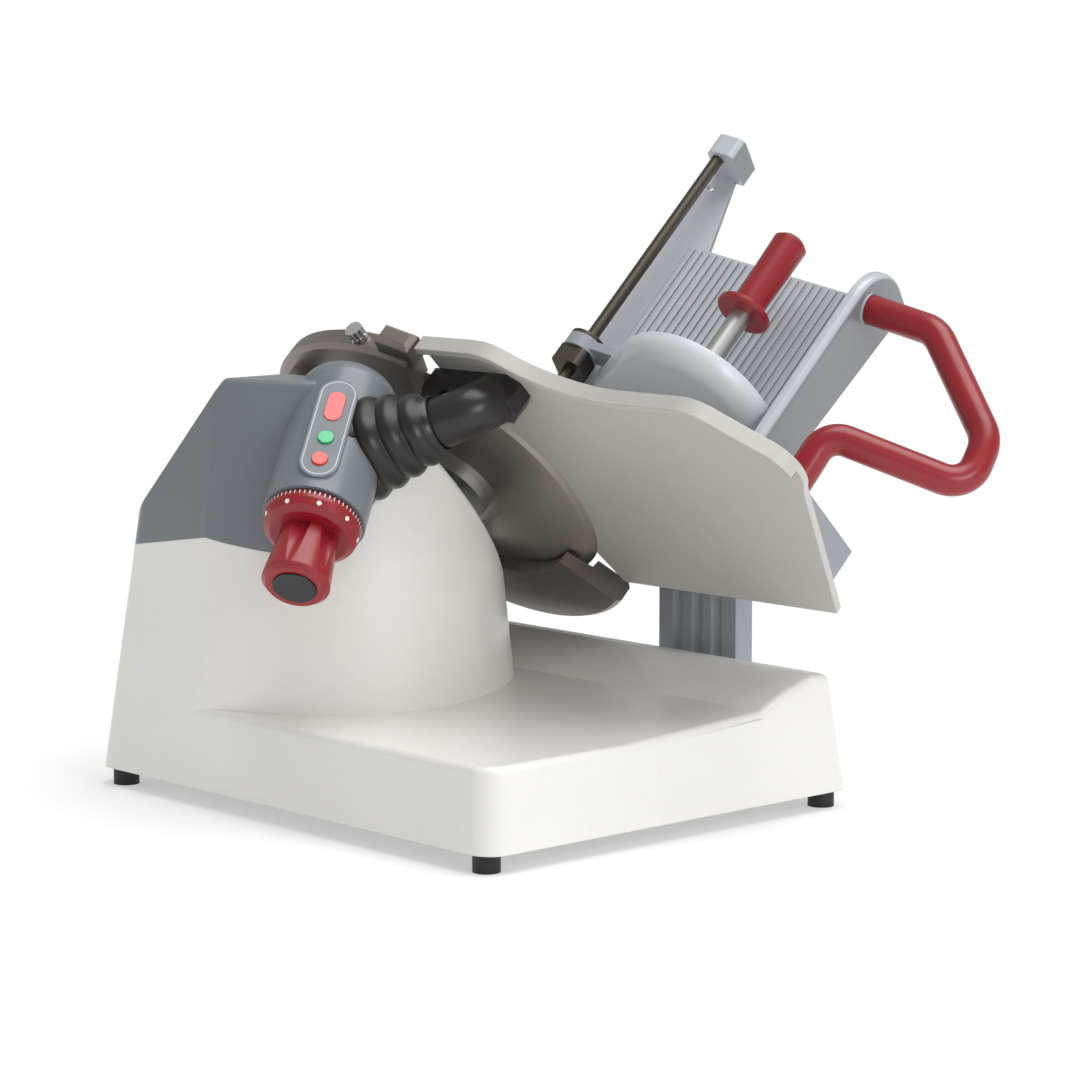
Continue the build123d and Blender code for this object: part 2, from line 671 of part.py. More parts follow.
def base_casting():
    skin = tower_skin() & lower_zone()
    outer = pan_form() + skin
    hollow = (envelope(WALL) - above_receiver(WALL)) + tower_form(WALL)
    casting = outer - hollow
    for x in (-FOOT_X, FOOT_X):
        for y in (-FOOT_Y, FOOT_Y):
            casting += Pos(x, y, 0) * rod(FOOT_BOSS_RADIUS, (FOOT_HEIGHT, COVER_BOSS_TOP)) & outer
    for x, y in COVER_BOSSES:
        casting += Pos(x, y, 0) * rod(COVER_BOSS_RADIUS,
                                      (FOOT_HEIGHT + COVER_SHEET, COVER_BOSS_TOP)) & outer
    posts_top = tower_form(WALL + FIT)
    for x in POST_XS:
        post = Pos(x, POST_Y, 0) * rod(POST_RADIUS, (POST_FOOT_Z, TOWER_TOP))
        casting += (post & posts_top) + (post & skin)
    for x in (-FOOT_X, FOOT_X):
        for y in (-FOOT_Y, FOOT_Y):
            casting -= Pos(x, y, 0) * rod(FOOT_SCREW_RADIUS + FIT, (0, FOOT_HEIGHT + FOOT_SCREW_GRIP))
    for x, y in COVER_BOSSES:
        casting -= Pos(x, y, 0) * rod(COVER_SCREW_RADIUS + FIT, (0, FOOT_HEIGHT + COVER_SCREW_GRIP + SEAT))
    for place in slope_screw_places():
        casting -= place * rod(POST_SCREW_RADIUS + FIT, (-2 * POST_SCREW_GRIP - WALL, 0))
    casting -= bearing_holes()
    casting -= INDEX.location * rod(CYLINDER_RADIUS + SEAT, (CYLINDER_START - SEAT, CYLINDER_END + SEAT))
    casting -= arm_slot()
    link_z = (ROD_Z - FOOT_LINK_HALF - SLOT_CLEARANCE, ROD_Z + FOOT_LINK_HALF + SLOT_CLEARANCE)
    link_y = (LINK_Y[0] - CARRIAGE_FORWARD - SLOT_CLEARANCE, LINK_Y[1] + CARRIAGE_BACK + SLOT_CLEARANCE)
    casting -= block((TRUCK_X[1], SPAN), link_y, link_z)
    casting -= Pos(INLET_X, 0, INLET_Z) * Rot(-90, 0, 0) * rod(INLET_RADIUS + FIT, (BASE_DEPTH / 4, SPAN))
    return casting


def upper_housing():
    hollow = tower_form(WALL)
    shell = (tower_skin() - lower_zone()) + gauge_cylinder(CYLINDER_RADIUS, CYLINDER_START, CYLINDER_END)
    shell -= hollow
    inner = CYLINDER_RADIUS - CYLINDER_WALL
    shell -= gauge_cylinder(inner, CYLINDER_START + CYLINDER_WALL, CYLINDER_END - CYLINDER_WALL)
    shell -= INDEX.location * rod(SPINDLE_RADIUS + RUN, (0, CYLINDER_END / 2))
    shell -= arm_slot()
    shell -= bearing_holes()
    for place in button_places():
        shell -= place * rod(BUTTON_RADIUS + SEAT, (0, SPAN))
    for place in slope_screw_places():
        shell -= place * rod(POST_SCREW_RADIUS + FIT, (-2 * WALL, 1))
    return shell


def bottom_cover():
    inset = WALL + SEAT
    sheet = RectangleRounded(BASE_WIDTH - 2 * inset, BASE_DEPTH - 2 * inset, CORNER_RADIUS - inset)
    cover = raised(sheet, (FOOT_HEIGHT, FOOT_HEIGHT + COVER_SHEET - FIT))
    for x in (-FOOT_X, FOOT_X):
        for y in (-FOOT_Y, FOOT_Y):
            cover -= Pos(x, y, 0) * rod(FOOT_RADIUS + SEAT, (0, 2 * FOOT_HEIGHT))
    for x, y in COVER_BOSSES:
        cover -= Pos(x, y, 0) * rod(COVER_SCREW_RADIUS + FIT, (0, 2 * FOOT_HEIGHT))
    return cover


def bottom_cover_screws():
    one = Rot(180, 0, 0) * screw(COVER_SCREW_RADIUS, COVER_SCREW_HEAD_RADIUS, COVER_SCREW_HEAD,
                                 COVER_SCREW_GRIP)
    return group(Pos(x, y, FOOT_HEIGHT) * one for x, y in COVER_BOSSES)


def foot(x, y):
    body = rod(FOOT_RADIUS, (0, FOOT_HEIGHT))
    body -= rod(FOOT_SCREW_HEAD_RADIUS + SEAT, (0, FOOT_SCREW_RECESS + FOOT_SCREW_HEAD))
    body -= rod(FOOT_SCREW_RADIUS + FIT, (0, FOOT_HEIGHT))
    return Pos(x, y, 0) * body


def foot_screws():
    seat_z = FOOT_SCREW_RECESS + FOOT_SCREW_HEAD
    grip = FOOT_HEIGHT - seat_z + FOOT_SCREW_GRIP - SEAT
    one = Rot(180, 0, 0) * screw(FOOT_SCREW_RADIUS, FOOT_SCREW_HEAD_RADIUS, FOOT_SCREW_HEAD, grip)
    places = [Pos(x, y, seat_z) for x in (-FOOT_X, FOOT_X) for y in (-FOOT_Y, FOOT_Y)]
    return group(place * one for place in places)


def housing_screws():
    grip = WALL + POST_SCREW_GRIP
    one = screw(POST_SCREW_RADIUS, POST_SCREW_HEAD_RADIUS, POST_SCREW_HEAD, grip)
    return group(place * one for place in slope_screw_places())


def cord_inlet():
    back = BASE_DEPTH / 2 - (INLET_Z - FOOT_HEIGHT) * tan(radians(DRAFT))
    flange_reach = INLET_FLANGE_RADIUS * tan(radians(DRAFT))
    gland = rod(INLET_RADIUS, (back - 2 * WALL, back + INLET_LENGTH))
    gland += rod(INLET_FLANGE_RADIUS, (back + flange_reach, back + flange_reach + INLET_FLANGE))
    gland -= rod(INLET_BORE, (0, SPAN))
    return Pos(INLET_X, 0, INLET_Z) * Rot(-90, 0, 0) * gland


def panel_pill(length, width, depth, heights):
    """Rounded bar shape standing on the panel at one depth along the knob axis."""
    return PANEL * Pos(0, depth, 0) * raised(Rot(0, 0, 90) * SlotOverall(length, width), heights)


def control_panel():
    plate = panel_pill(PANEL_LENGTH, PANEL_WIDTH, PANEL_DEPTH, (CYLINDER_RADIUS / 2, PANEL_FACE))
    plate -= INDEX.location * rod(CYLINDER_RADIUS, (0, SPAN))
    for place in button_places():
        plate -= place * rod(BUTTON_RADIUS + SEAT, (0, SPAN))
    return plate - panel_pill(LENS_LENGTH + FIT, LENS_WIDTH + FIT, LENS_DEPTH,
                              (PANEL_FACE - LENS_SINK, SPAN))


def indicator_lens():
    lens = panel_pill(LENS_LENGTH, LENS_WIDTH, LENS_DEPTH,
                      (PANEL_FACE - LENS_SINK, PANEL_FACE + LENS_PROUD))
    return lens


def button(place):
    top = PANEL_FACE + BUTTON_PROUD
    return place * rod(BUTTON_RADIUS, (top - BUTTON_LENGTH, top))


def switch_block():
    top = PANEL_FACE + BUTTON_PROUD - BUTTON_LENGTH - BUTTON_TRAVEL - SEAT
    half = SWITCH_WIDTH / 2
    box = block((-half, half), SWITCH_DEPTHS, (top - SWITCH_THICKNESS, top))
    for end in (SWITCH_DEPTHS[0], SWITCH_DEPTHS[1] - SWITCH_TAB):
        box += block((-half, half), (end, end + SWITCH_TAB), (top - SWITCH_THICKNESS, CYLINDER_RADIUS))
    return PANEL * box & INDEX.location * rod(CYLINDER_RADIUS - CYLINDER_WALL - FIT, (0, SPAN))


def knife_blade():
    bevel_root = KNIFE_RADIUS - BEVEL_WIDTH
    blade = turned(((KNIFE_BORE, -KNIFE_SEAT_DEPTH), (KNIFE_BORE, -KNIFE_DEPTH),
                    (KNIFE_SEAT_RADIUS, -KNIFE_DEPTH),
                    (bevel_root, -KNIFE_DEPTH / 3), (KNIFE_RADIUS, -EDGE_THICKNESS), (KNIFE_RADIUS, 0.0),
                    (bevel_root, -BEVEL_DEPTH), (KNIFE_SEAT_RADIUS, -KNIFE_SEAT_DEPTH)))
    for place in ring_of(KNIFE_SCREWS, KNIFE_SCREW_CIRCLE):
        blade -= place * rod(KNIFE_SCREW_RADIUS + FIT, (-KNIFE_DEPTH, 0))
        blade -= place * rod(KNIFE_SCREW_HEAD_RADIUS + FIT, (-KNIFE_SEAT_DEPTH - KNIFE_SCREW_HEAD, 0))
    return KNIFE * blade


def knife_shaft():
    shaft = rod(SHAFT_FLANGE_RADIUS, (-KNIFE_DEPTH - SHAFT_FLANGE, -KNIFE_DEPTH))
    shaft += rod(KNIFE_BORE - FIT, (-KNIFE_DEPTH, -KNIFE_SEAT_DEPTH - 2))
    shaft += rod(SHAFT_RADIUS, (PULLEY_W[0], -KNIFE_DEPTH))
    for place in ring_of(KNIFE_SCREWS, KNIFE_SCREW_CIRCLE):
        shaft -= place * rod(KNIFE_SCREW_RADIUS + FIT, (-KNIFE_DEPTH - SHAFT_FLANGE, 0))
    return KNIFE * shaft


def knife_screws():
    head_z = -KNIFE_SEAT_DEPTH - KNIFE_SCREW_HEAD
    grip = KNIFE_DEPTH + SHAFT_FLANGE + head_z - 1
    one = Pos(0, 0, head_z) * screw(KNIFE_SCREW_RADIUS, KNIFE_SCREW_HEAD_RADIUS, KNIFE_SCREW_HEAD, grip)
    return group(KNIFE * place * one for place in ring_of(KNIFE_SCREWS, KNIFE_SCREW_CIRCLE))


def pulley(radius, bore):
    """Flat-belt pulley with a lip at each edge, in the knife frame's depth."""
    wheel = rod(radius, PULLEY_W)
    edge = (PULLEY_WIDTH - BELT_WIDTH) / 2 - FIT
    wheel += rod(radius + PULLEY_LIP, (PULLEY_W[0], PULLEY_W[0] + edge))
    wheel += rod(radius + PULLEY_LIP, (PULLEY_W[1] - edge, PULLEY_W[1]))
    return wheel - rod(bore, PULLEY_W)


def motor_place():
    return KNIFE * Pos(MOTOR_OFFSET_Y, MOTOR_OFFSET_RISE, 0)


def bearing_housing():
    flange_w = FACE_W + GUARD_HUB
    housing = rod(HOUSING_RADIUS, (HOUSING_END_W, flange_w))
    housing += rod(HOUSING_FLANGE_RADIUS, (flange_w, flange_w + HOUSING_FLANGE))
    housing += rod(HOUSING_NOSE_RADIUS, (flange_w, NOSE_W))
    housing -= rod(HOUSING_BORE, (HOUSING_END_W, NOSE_W))
    housing -= rod(BEARING_RADIUS + FIT, (NOSE_W - BEARING_WIDTH, NOSE_W))
    housing -= rod(BEARING_RADIUS + FIT, (HOUSING_END_W, HOUSING_END_W + BEARING_WIDTH))
    for place in ring_of(HOUSING_SCREWS, HOUSING_SCREW_CIRCLE):
        housing -= place * rod(HOUSING_SCREW_RADIUS + FIT, (FACE_W, 0))
    return KNIFE * housing


def bearing(start):
    return KNIFE * tube(BEARING_RADIUS, SHAFT_RADIUS + RUN, (start, start + BEARING_WIDTH))


def bearing_screws():
    head_w = FACE_W + GUARD_HUB + HOUSING_FLANGE
    grip = GUARD_HUB + HOUSING_FLANGE + WALL
    one = Pos(0, 0, head_w) * screw(HOUSING_SCREW_RADIUS, HOUSING_SCREW_HEAD_RADIUS, HOUSING_SCREW_HEAD,
                                    grip)
    return group(KNIFE * place * one for place in ring_of(HOUSING_SCREWS, HOUSING_SCREW_CIRCLE))


def motor_body():
    body = rod(MOTOR_RADIUS, (BRACKET_W[0] - MOTOR_LENGTH, BRACKET_W[0]))
    return motor_place() * (body - rod(MOTOR_SHAFT_RADIUS + RUN, (BRACKET_W[0] - MOTOR_SHAFT_ROOT, 0)))


def motor_shaft():
    return motor_place() * rod(MOTOR_SHAFT_RADIUS, (BRACKET_W[0] - MOTOR_SHAFT_ROOT, PULLEY_W[1]))


def motor_bracket():
    plate = block((-BRACKET_HALF_WIDTH, SPAN), (-BRACKET_HALF_WIDTH, BRACKET_REACH), BRACKET_W)
    plate -= rod(2 * MOTOR_SHAFT_RADIUS, BRACKET_W)
    return motor_place() * plate & tower_form(WALL)


def drive_belt():
    middle = (PULLEY_W[0] + PULLEY_W[1]) / 2
    span = (middle - BELT_WIDTH / 2, middle + BELT_WIDTH / 2)

    def loop(grow):
        far = Pos(MOTOR_OFFSET_Y, MOTOR_OFFSET_RISE) * Circle(MOTOR_PULLEY_RADIUS + grow)
        return raised(make_hull((Circle(KNIFE_PULLEY_RADIUS + grow) + far).edges()), span)

    return KNIFE * (loop(RUN + BELT_THICKNESS) - loop(RUN))


def ring_guard():
    lip = RING_INNER - RING_LIP
    section = ((RING_INNER, 0.0), (RING_INNER, -RING_LIP_DEPTHS[0]), (lip, -RING_LIP_DEPTHS[1]),
               (lip, -RING_DEPTH),
               (RING_OUTER - RING_WEB, -RING_DEPTH), (RING_OUTER, -RING_DEPTH + RING_WEB),
               (RING_OUTER, -RING_WEB),
               (RING_OUTER - RING_WEB, 0.0))
    face = Plane.XZ * make_face(Polyline(*section, close=True))
    guard = Rot(0, 0, RING_START) * revolve(face, Axis.Z, revolution_arc=RING_ARC)
    lug = block((RING_OUTER - 2 * RING_WEB, LUG_REACH), (-LUG_HALF_WIDTH, LUG_HALF_WIDTH), (-LUG_DEPTH, 0))
    guard += Rot(0, 0, LUG_ANGLE) * chamfer(lug.edges().group_by(Axis.X)[-1], RING_WEB)
    guard += rod(GUARD_HUB_RADIUS, (FACE_W, FACE_W + GUARD_HUB))
    arm_w = (FACE_W + GUARD_ARM_LIFT, FACE_W + GUARD_ARM_LIFT + GUARD_ARM)
    for angle in GUARD_ARM_ANGLES:
        arm = block((0, GUARD_POST_CIRCLE), (-GUARD_ARM_WIDTH / 2, GUARD_ARM_WIDTH / 2), arm_w)
        arm += Pos(GUARD_POST_CIRCLE, 0, 0) * rod(GUARD_ARM_WIDTH / 2, arm_w)
        arm += Pos(GUARD_POST_CIRCLE, 0, 0) * rod(GUARD_POST_RADIUS, (arm_w[0], -RING_DEPTH / 2))
        guard += Rot(0, 0, angle) * arm
    guard -= rod(HOUSING_FLANGE_RADIUS + SEAT, (FACE_W + GUARD_HUB, 0))
    guard -= rod(HOUSING_RADIUS + FIT, (FACE_W - 1, 0))
    for place in ring_of(HOUSING_SCREWS, HOUSING_SCREW_CIRCLE):
        guard -= place * rod(HOUSING_SCREW_RADIUS + FIT, (FACE_W - 1, 0))
    guard -= latch_place() * rod(LATCH_STEM_RADIUS + RUN, (-LATCH_STEM - SEAT, SPAN))
    return KNIFE * guard


def latch_place():
    """Place on the rim of the ring guard, pointing outward."""
    return Rot(0, 0, LATCH_ANGLE) * Pos(RING_OUTER, 0, -RING_DEPTH / 2) * Rot(0, 90, 0)


def cover_latch_knob():
    knob = rod(LATCH_RADIUS, (SEAT, LATCH_HEIGHT)) + rod(LATCH_STEM_RADIUS, (-LATCH_STEM, SEAT))
    for place in ring_of(LATCH_FLUTES, LATCH_RADIUS + LATCH_FLUTE_OFFSET):
        knob -= place * rod(LATCH_FLUTE_RADIUS, (LATCH_HEIGHT / 3, LATCH_HEIGHT))
    return KNIFE * latch_place() * knob


def knife_cover():
    disc = rod(COVER_RADIUS, (-COVER_DROP - COVER_THICKNESS, -COVER_DROP))
    half = EAR_WIDTH / 2
    ear = block((EAR_ROOT, EAR_REACH), (-half, half), (EAR_GAP, EAR_GAP + EAR_THICKNESS))
    ear += block((EAR_ROOT, EAR_ROOT + EAR_FOOT), (-half, half), (-COVER_DROP - COVER_THICKNESS, EAR_GAP))
    return KNIFE * (disc + Rot(0, 0, LATCH_ANGLE) * ear)


def gauge_plate():
    foot = (GAUGE_FOOT_Y, GAUGE_BOTTOM)
    inner = (GAUGE_INNER_Y, GAUGE_BOTTOM)
    sweep_start = (GAUGE_SWEEP_Y, GAUGE_TOP)
    horn = (GAUGE_HORN_Y, GAUGE_HORN_TOP)
    horn_end = (GAUGE_HORN_END_Y, GAUGE_HORN_TOP)
    edges = Polyline(inner, foot, GAUGE_FRONT[0])
    edges += ThreePointArc(*GAUGE_FRONT)
    edges += Line(GAUGE_FRONT[-1], GAUGE_CORNER[0])
    edges += ThreePointArc(*GAUGE_CORNER)
    edges += Line(GAUGE_CORNER[-1], sweep_start)
    edges += Spline(sweep_start, *GAUGE_SWEEP, horn, tangents=((1, 0), (1, 0)))
    edges += Polyline(horn, horn_end, (GAUGE_HORN_END_Y, KNIFE_RISE), inner)
    outline = make_face(edges)
    plate = raised(outline, (CUT_N - GAUGE_RIM_DEPTH, CUT_N))
    for shift in (-GAUGE_OPEN_END, GAUGE_OPEN_END):
        plate -= Pos(shift, -GAUGE_RIM_TOP, 0) * raised(outline, (0, GAUGE_BACK_N))
    plate -= Pos(KNIFE_Y, KNIFE_RISE, 0) * rod(KNIFE_RADIUS + GAUGE_KNIFE_GAP, (0, SPAN))
    for place in gauge_screw_places():
        plate -= place * rod(GAUGE_SCREW_RADIUS + FIT, (0, GAUGE_SCREW_GRIP + SEAT))
    return CUT.location * plate


def gauge_screw_places():
    """Places in the cut frame where screws pass from the pad into the plate."""
    rises = (PAD_RISE[0] + GAUGE_SCREW_INSET, PAD_RISE[1] - GAUGE_SCREW_INSET)
    return [Pos(y, rise, GAUGE_BACK_N) for y in GAUGE_SCREW_YS for rise in rises]


def gauge_arm():
    clamp, exit_point, elbow, pad = arm_points()
    arm = swept((clamp, exit_point, elbow, pad), (ARM_BEND, ELBOW_BEND), ARM_RADIUS)
    thick_start = exit_point + (elbow - exit_point) * ELBOW_START
    arm += swept((thick_start, elbow, pad), (ELBOW_BEND,), ELBOW_RADIUS)
    plate = block(PAD_Y, PAD_RISE, (GAUGE_BACK_N - PAD_DEPTH, GAUGE_BACK_N))
    arm += chamfer(plate.edges().filter_by(Axis.Z), PAD_CHAMFER)
    arm += Pos(clamp.X, clamp.Y, clamp.Z) * rod(CLAMP_RADIUS, (-CLAMP_HEIGHT / 2, CLAMP_HEIGHT / 2))
    arm -= block((-SPAN, SPAN), (-SPAN, SPAN), (GAUGE_BACK_N, SPAN))
    arm -= Pos(BAR_Y, ARM_RISE, 0) * rod(BAR_RADIUS + FIT / 2, BAR_N)
    slot_half = NUT_PIN_RADIUS + PIN_SLOT_CLEARANCE
    slot_y = (NUT.X - NUT_SIDE_TRAVEL - slot_half, NUT.X + slot_half)
    arm -= block(slot_y, (ARM_RISE - 2 * ARM_RADIUS, NUT.Y), (NUT.Z - slot_half, NUT.Z + slot_half))
    for place in gauge_screw_places():
        arm -= place * rod(GAUGE_SCREW_RADIUS + FIT, (-PAD_DEPTH - 1, 0))
        arm -= place * rod(GAUGE_SCREW_HEAD_RADIUS + SEAT, (-SPAN, -PAD_DEPTH))
    return CUT.location * arm


def gauge_screws():
    grip = PAD_DEPTH + GAUGE_SCREW_GRIP
    one = Pos(0, 0, -PAD_DEPTH) * Rot(180, 0, 0) * screw(
        GAUGE_SCREW_RADIUS, GAUGE_SCREW_HEAD_RADIUS, GAUGE_SCREW_HEAD, grip)
    return group(CUT.location * place * one for place in gauge_screw_places())


def gauge_slide_bar():
    return CUT.location * Pos(BAR_Y, ARM_RISE, 0) * rod(BAR_RADIUS, BAR_N)


def gauge_guide():
    half = GUIDE_WIDTH / 2
    start = BAR_N[0] + GUIDE_ABOVE_BAR_END
    body = block((-half, half), (-half, SPAN), (start, start + GUIDE_HEIGHT)) - rod(BAR_RADIUS + RUN, BAR_N)
    return CUT.location * Pos(BAR_Y, ARM_RISE, 0) * body & tower_form(WALL)


def index_nut():
    body = block((-NUT_HALF_LENGTH, NUT_HALF_LENGTH), (-NUT_HALF_HEIGHT, NUT_HALF_HEIGHT),
                 (-NUT_HALF_WIDTH, NUT_HALF_WIDTH))
    body += Rot(90, 0, 0) * rod(NUT_PIN_RADIUS, (0, NUT_HALF_HEIGHT + NUT_PIN_LENGTH))
    nut = CUT.location * Pos(NUT.X, NUT.Y, NUT.Z) * body
    return nut - INDEX.location * rod(SPINDLE_RADIUS + RUN, (0, SPAN))


def index_spindle():
    return INDEX.location * rod(SPINDLE_RADIUS, (SPINDLE_START, SPINDLE_END))


def index_knob():
    grip = turned(((0, KNOB_START), (KNOB_RADIUS - KNOB_ROUND, KNOB_START),
                   (KNOB_RADIUS, KNOB_START + KNOB_ROUND),
                   (KNOB_NECK_RADIUS, KNOB_END), (0, KNOB_END)))
    for place in ring_of(KNOB_LOBES, KNOB_GROOVE_CIRCLE):
        groove = rod(KNOB_GROOVE, (-2 * KNOB_END, KNOB_END))
        groove = Pos(0, 0, KNOB_END) * Rot(0, -KNOB_GROOVE_LEAN, 0) * groove
        grip -= place * groove
    grip -= rod(CAP_RADIUS + FIT, (0, CAP_PROUD + CAP_THICKNESS))
    return INDEX.location * (grip - rod(SPINDLE_RADIUS + FIT / 2, (SPINDLE_START, KNOB_END)))


def index_dial():
    bore = SPINDLE_RADIUS + FIT / 2
    shoulder = (DIAL_SHOULDER[0], KNOB_END + DIAL_SHOULDER[1])
    dial = turned(((bore, KNOB_END), (DIAL_NECK_RADIUS, KNOB_END), shoulder,
                   (DIAL_RADIUS, KNOB_END + DIAL_BEVEL),
                   (DIAL_RADIUS, DIAL_END), (bore, DIAL_END)))
    for place in ring_of(DIAL_NOTCHES, DIAL_RADIUS):
        dial -= place * rod(DIAL_NOTCH_RADIUS, (DIAL_END - DIAL_NOTCH_LENGTH, DIAL_END))
    return INDEX.location * dial


def knob_cap():
    return INDEX.location * rod(CAP_RADIUS, (CAP_PROUD, CAP_PROUD + CAP_THICKNESS))


def boot_frame():
    """Place at the arm's exit, with local Z along the boot and local X along the oval."""
    _, exit_point, elbow, _ = arm_points()
    along = (elbow - exit_point).normalized()
    return Plane(origin=exit_point, x_dir=Vector(0, 0, 1) - along * along.Z, z_dir=along)


def boot_form(sheet):
    """Ribbed funnel from an oval foot to a round cuff, drawn in by the sheet on the inside."""
    _, exit_point, elbow, _ = arm_points()
    cuff = (elbow - exit_point).length * ELBOW_START
    last = BOOT_START + BOOT_RIBS * BOOT_PITCH
    sections = []
    for i in range(BOOT_RIBS):
        for share, rib in ((0.0, 0.0), (0.3, 1.0), (0.6, 1.0), (0.9, 0.0)):
            z = BOOT_START + (i + share) * BOOT_PITCH
            done = (z - BOOT_START) / (last - BOOT_START)
            swell = BOOT_RIB * rib - sheet
            long_radius = BOOT_BIG[0] + (BOOT_SMALL - BOOT_BIG[0]) * done + swell
            short_radius = BOOT_BIG[1] + (BOOT_SMALL - BOOT_BIG[1]) * done + swell
            shift = Pos(BOOT_SHIFT[0] * (1 - done), BOOT_SHIFT[1] * (1 - done), z)
            sections.append(shift * Ellipse(long_radius, short_radius))
    for z in (last, max(last, cuff) + BOOT_CUFF):
        sections.append(Pos(0, 0, z) * Ellipse(BOOT_SMALL - sheet, BOOT_SMALL - sheet))
    return loft(sections, ruled=True)


def gauge_boot():
    frame = CUT.location * boot_frame().location
    boot = frame * boot_form(0.0) - frame * boot_form(BOOT_SHEET)
    boot -= tower_form(-SEAT)
    boot -= INDEX.location * rod(CYLINDER_RADIUS + SEAT, (0, CYLINDER_END))
    boot -= panel_pill(PANEL_LENGTH + FIT, PANEL_WIDTH + FIT, PANEL_DEPTH,
                       (CYLINDER_RADIUS / 2, PANEL_FACE + SEAT))
    return boot


def carriage_rod_piece(x, radius):
    bar = Pos(x, 0, ROD_Z) * Rot(90, 0, 0) * rod(radius, (-BASE_DEPTH, BASE_DEPTH))
    return bar & envelope(WALL)


def bush_places():
    """Bush centres on the main rod and the guide rod: x, y, rod radius."""
    inset = BUSH_LENGTH / 2 + 2
    middle = (TRUCK_Y[0] + TRUCK_Y[1]) / 2
    return ((ROD_X, TRUCK_Y[0] + inset, ROD_RADIUS), (ROD_X, TRUCK_Y[1] - inset, ROD_RADIUS),
            (GUIDE_ROD_X, middle, GUIDE_ROD_RADIUS))


def truck_bushes():
    def one(x, y, radius):
        half = BUSH_LENGTH / 2
        return Pos(x, y, ROD_Z) * Rot(90, 0, 0) * tube(radius + BUSH_WALL, radius + RUN, (-half, half))

    return group(one(*place) for place in bush_places())


def knuckle_spans():
    """Y limits of the two outer knuckles of the carriage hinge."""
    return ((LINK_Y[0], LINK_Y[0] + KNUCKLE_LENGTH), (LINK_Y[1] - KNUCKLE_LENGTH, LINK_Y[1]))


def along_y(x, z, radius, y):
    """Round bar along Y between two limits."""
    return Pos(x, 0, z) * Rot(90, 0, 0) * rod(radius, (-y[1], -y[0]))


def carriage_truck():
    truck = block(TRUCK_X, TRUCK_Y, (ROD_Z - TRUCK_HALF_HEIGHT, ROD_Z + TRUCK_HALF_HEIGHT))
    link_z = (ROD_Z - FOOT_LINK_HALF, ROD_Z + FOOT_LINK_HALF)
    truck += block((TRUCK_X[0], PIVOT_X - KNUCKLE_RADIUS - 2), LINK_Y, link_z)
    for span in knuckle_spans():
        truck += block((TRUCK_X[0], PIVOT_X), span, link_z)
        truck += along_y(PIVOT_X, ROD_Z, KNUCKLE_RADIUS, span)
    truck -= along_y(PIVOT_X, ROD_Z, PIVOT_RADIUS + FIT, LINK_Y)
    for x, radius in ((ROD_X, ROD_RADIUS), (GUIDE_ROD_X, GUIDE_ROD_RADIUS)):
        truck -= along_y(x, ROD_Z, radius + 1, TRUCK_Y)
    for x, y, radius in bush_places():
        half = BUSH_LENGTH / 2
        truck -= along_y(x, ROD_Z, radius + BUSH_WALL + FIT, (y - half, y + half))
    return truck


def pivot_pin():
    return along_y(PIVOT_X, ROD_Z, PIVOT_RADIUS, LINK_Y)


def carriage_arm():
    spans = knuckle_spans()
    inner = (spans[0][1] + KNUCKLE_GAP, spans[1][0] - KNUCKLE_GAP)
    foot_z = ROD_Z + ARM_COLUMN_FOOT
    column = block(ARM_COLUMN_X, ARM_COLUMN_Y, (foot_z, SPAN))
    pitch = (ARM_COLUMN_Y[1] - ARM_COLUMN_Y[0]) / (FLUTES + 1)
    for i in range(FLUTES):
        flute_y = ARM_COLUMN_Y[0] + (i + 1) * pitch
        flute = rod(FLUTE_RADIUS, (foot_z + FLUTE_RADIUS, SPAN))
        column -= Pos(ARM_COLUMN_X[0] - FLUTE_RADIUS / 2, flute_y, 0) * flute
    above = TABLE.location * block((-SPAN, SPAN), (FLOOR_UNDER - HEAD_THICKNESS / 2, SPAN),
                                   (-SPAN, 2 * SPAN))
    arm = column - above
    arm += TABLE.location * block(HEAD_ACROSS, (HEAD_UNDER, FLOOR_UNDER), HEAD_N)
    arm += along_y(PIVOT_X, ROD_Z, KNUCKLE_RADIUS - 1, inner)
    arm += block((PIVOT_X - KNUCKLE_RADIUS / 2, PIVOT_X + KNUCKLE_RADIUS / 2), inner, (ROD_Z, foot_z))
    return arm - along_y(PIVOT_X, ROD_Z, PIVOT_RADIUS + RUN, LINK_Y)


def carriage_saddle():
    def under_head(y):
        return (HEAD_UNDER + ROLL_SIN * y) / ROLL_COS

    ear_y = SADDLE_FRONT_Y + SADDLE_EAR
    outline = ((SADDLE_FRONT_Y, SADDLE_BOTTOM), (SADDLE_FRONT_Y, SADDLE_EAR_TOP), (ear_y, SADDLE_EAR_TOP),
               (ear_y, under_head(ear_y)), (SADDLE_BACK_Y, under_head(SADDLE_BACK_Y)),
               (SADDLE_BACK_Y, under_head(SADDLE_BACK_Y) - SADDLE_BACK_DEPTH),
               (SADDLE_BEND_Y, SADDLE_BOTTOM))
    saddle = prism(outline, SADDLE_N)
    return CUT.location * (saddle - handle_foot() * rod(HANDLE_SCREW_RADIUS + FIT, (-SPAN, SPAN)))


def handle_foot():
    """Place in the cut frame where the handle's lower end meets the saddle."""
    return Pos(HANDLE_END_Y, HANDLE_END_RISE, SADDLE_N[1])


def wall_outline(inset):
    """Front wall's outline in (n, lift), drawn in along its top and upper end."""
    corner = (WALL_HEAD_N - inset, WALL_TOP - inset)
    points = ((TABLE_N[0] + inset, WALL_FOOT_BOTTOM - inset), (TABLE_N[0] + inset, WALL_TOP - inset),
              corner,
              (WALL_HEAD_N - inset, WALL_HEAD_BOTTOM - inset))
    face = make_face(Polyline(*points, close=True))
    tip = face.vertices().sort_by_distance((corner[0], corner[1], 0))[0]
    return fillet(tip, WALL_HEAD_ROUND - inset)


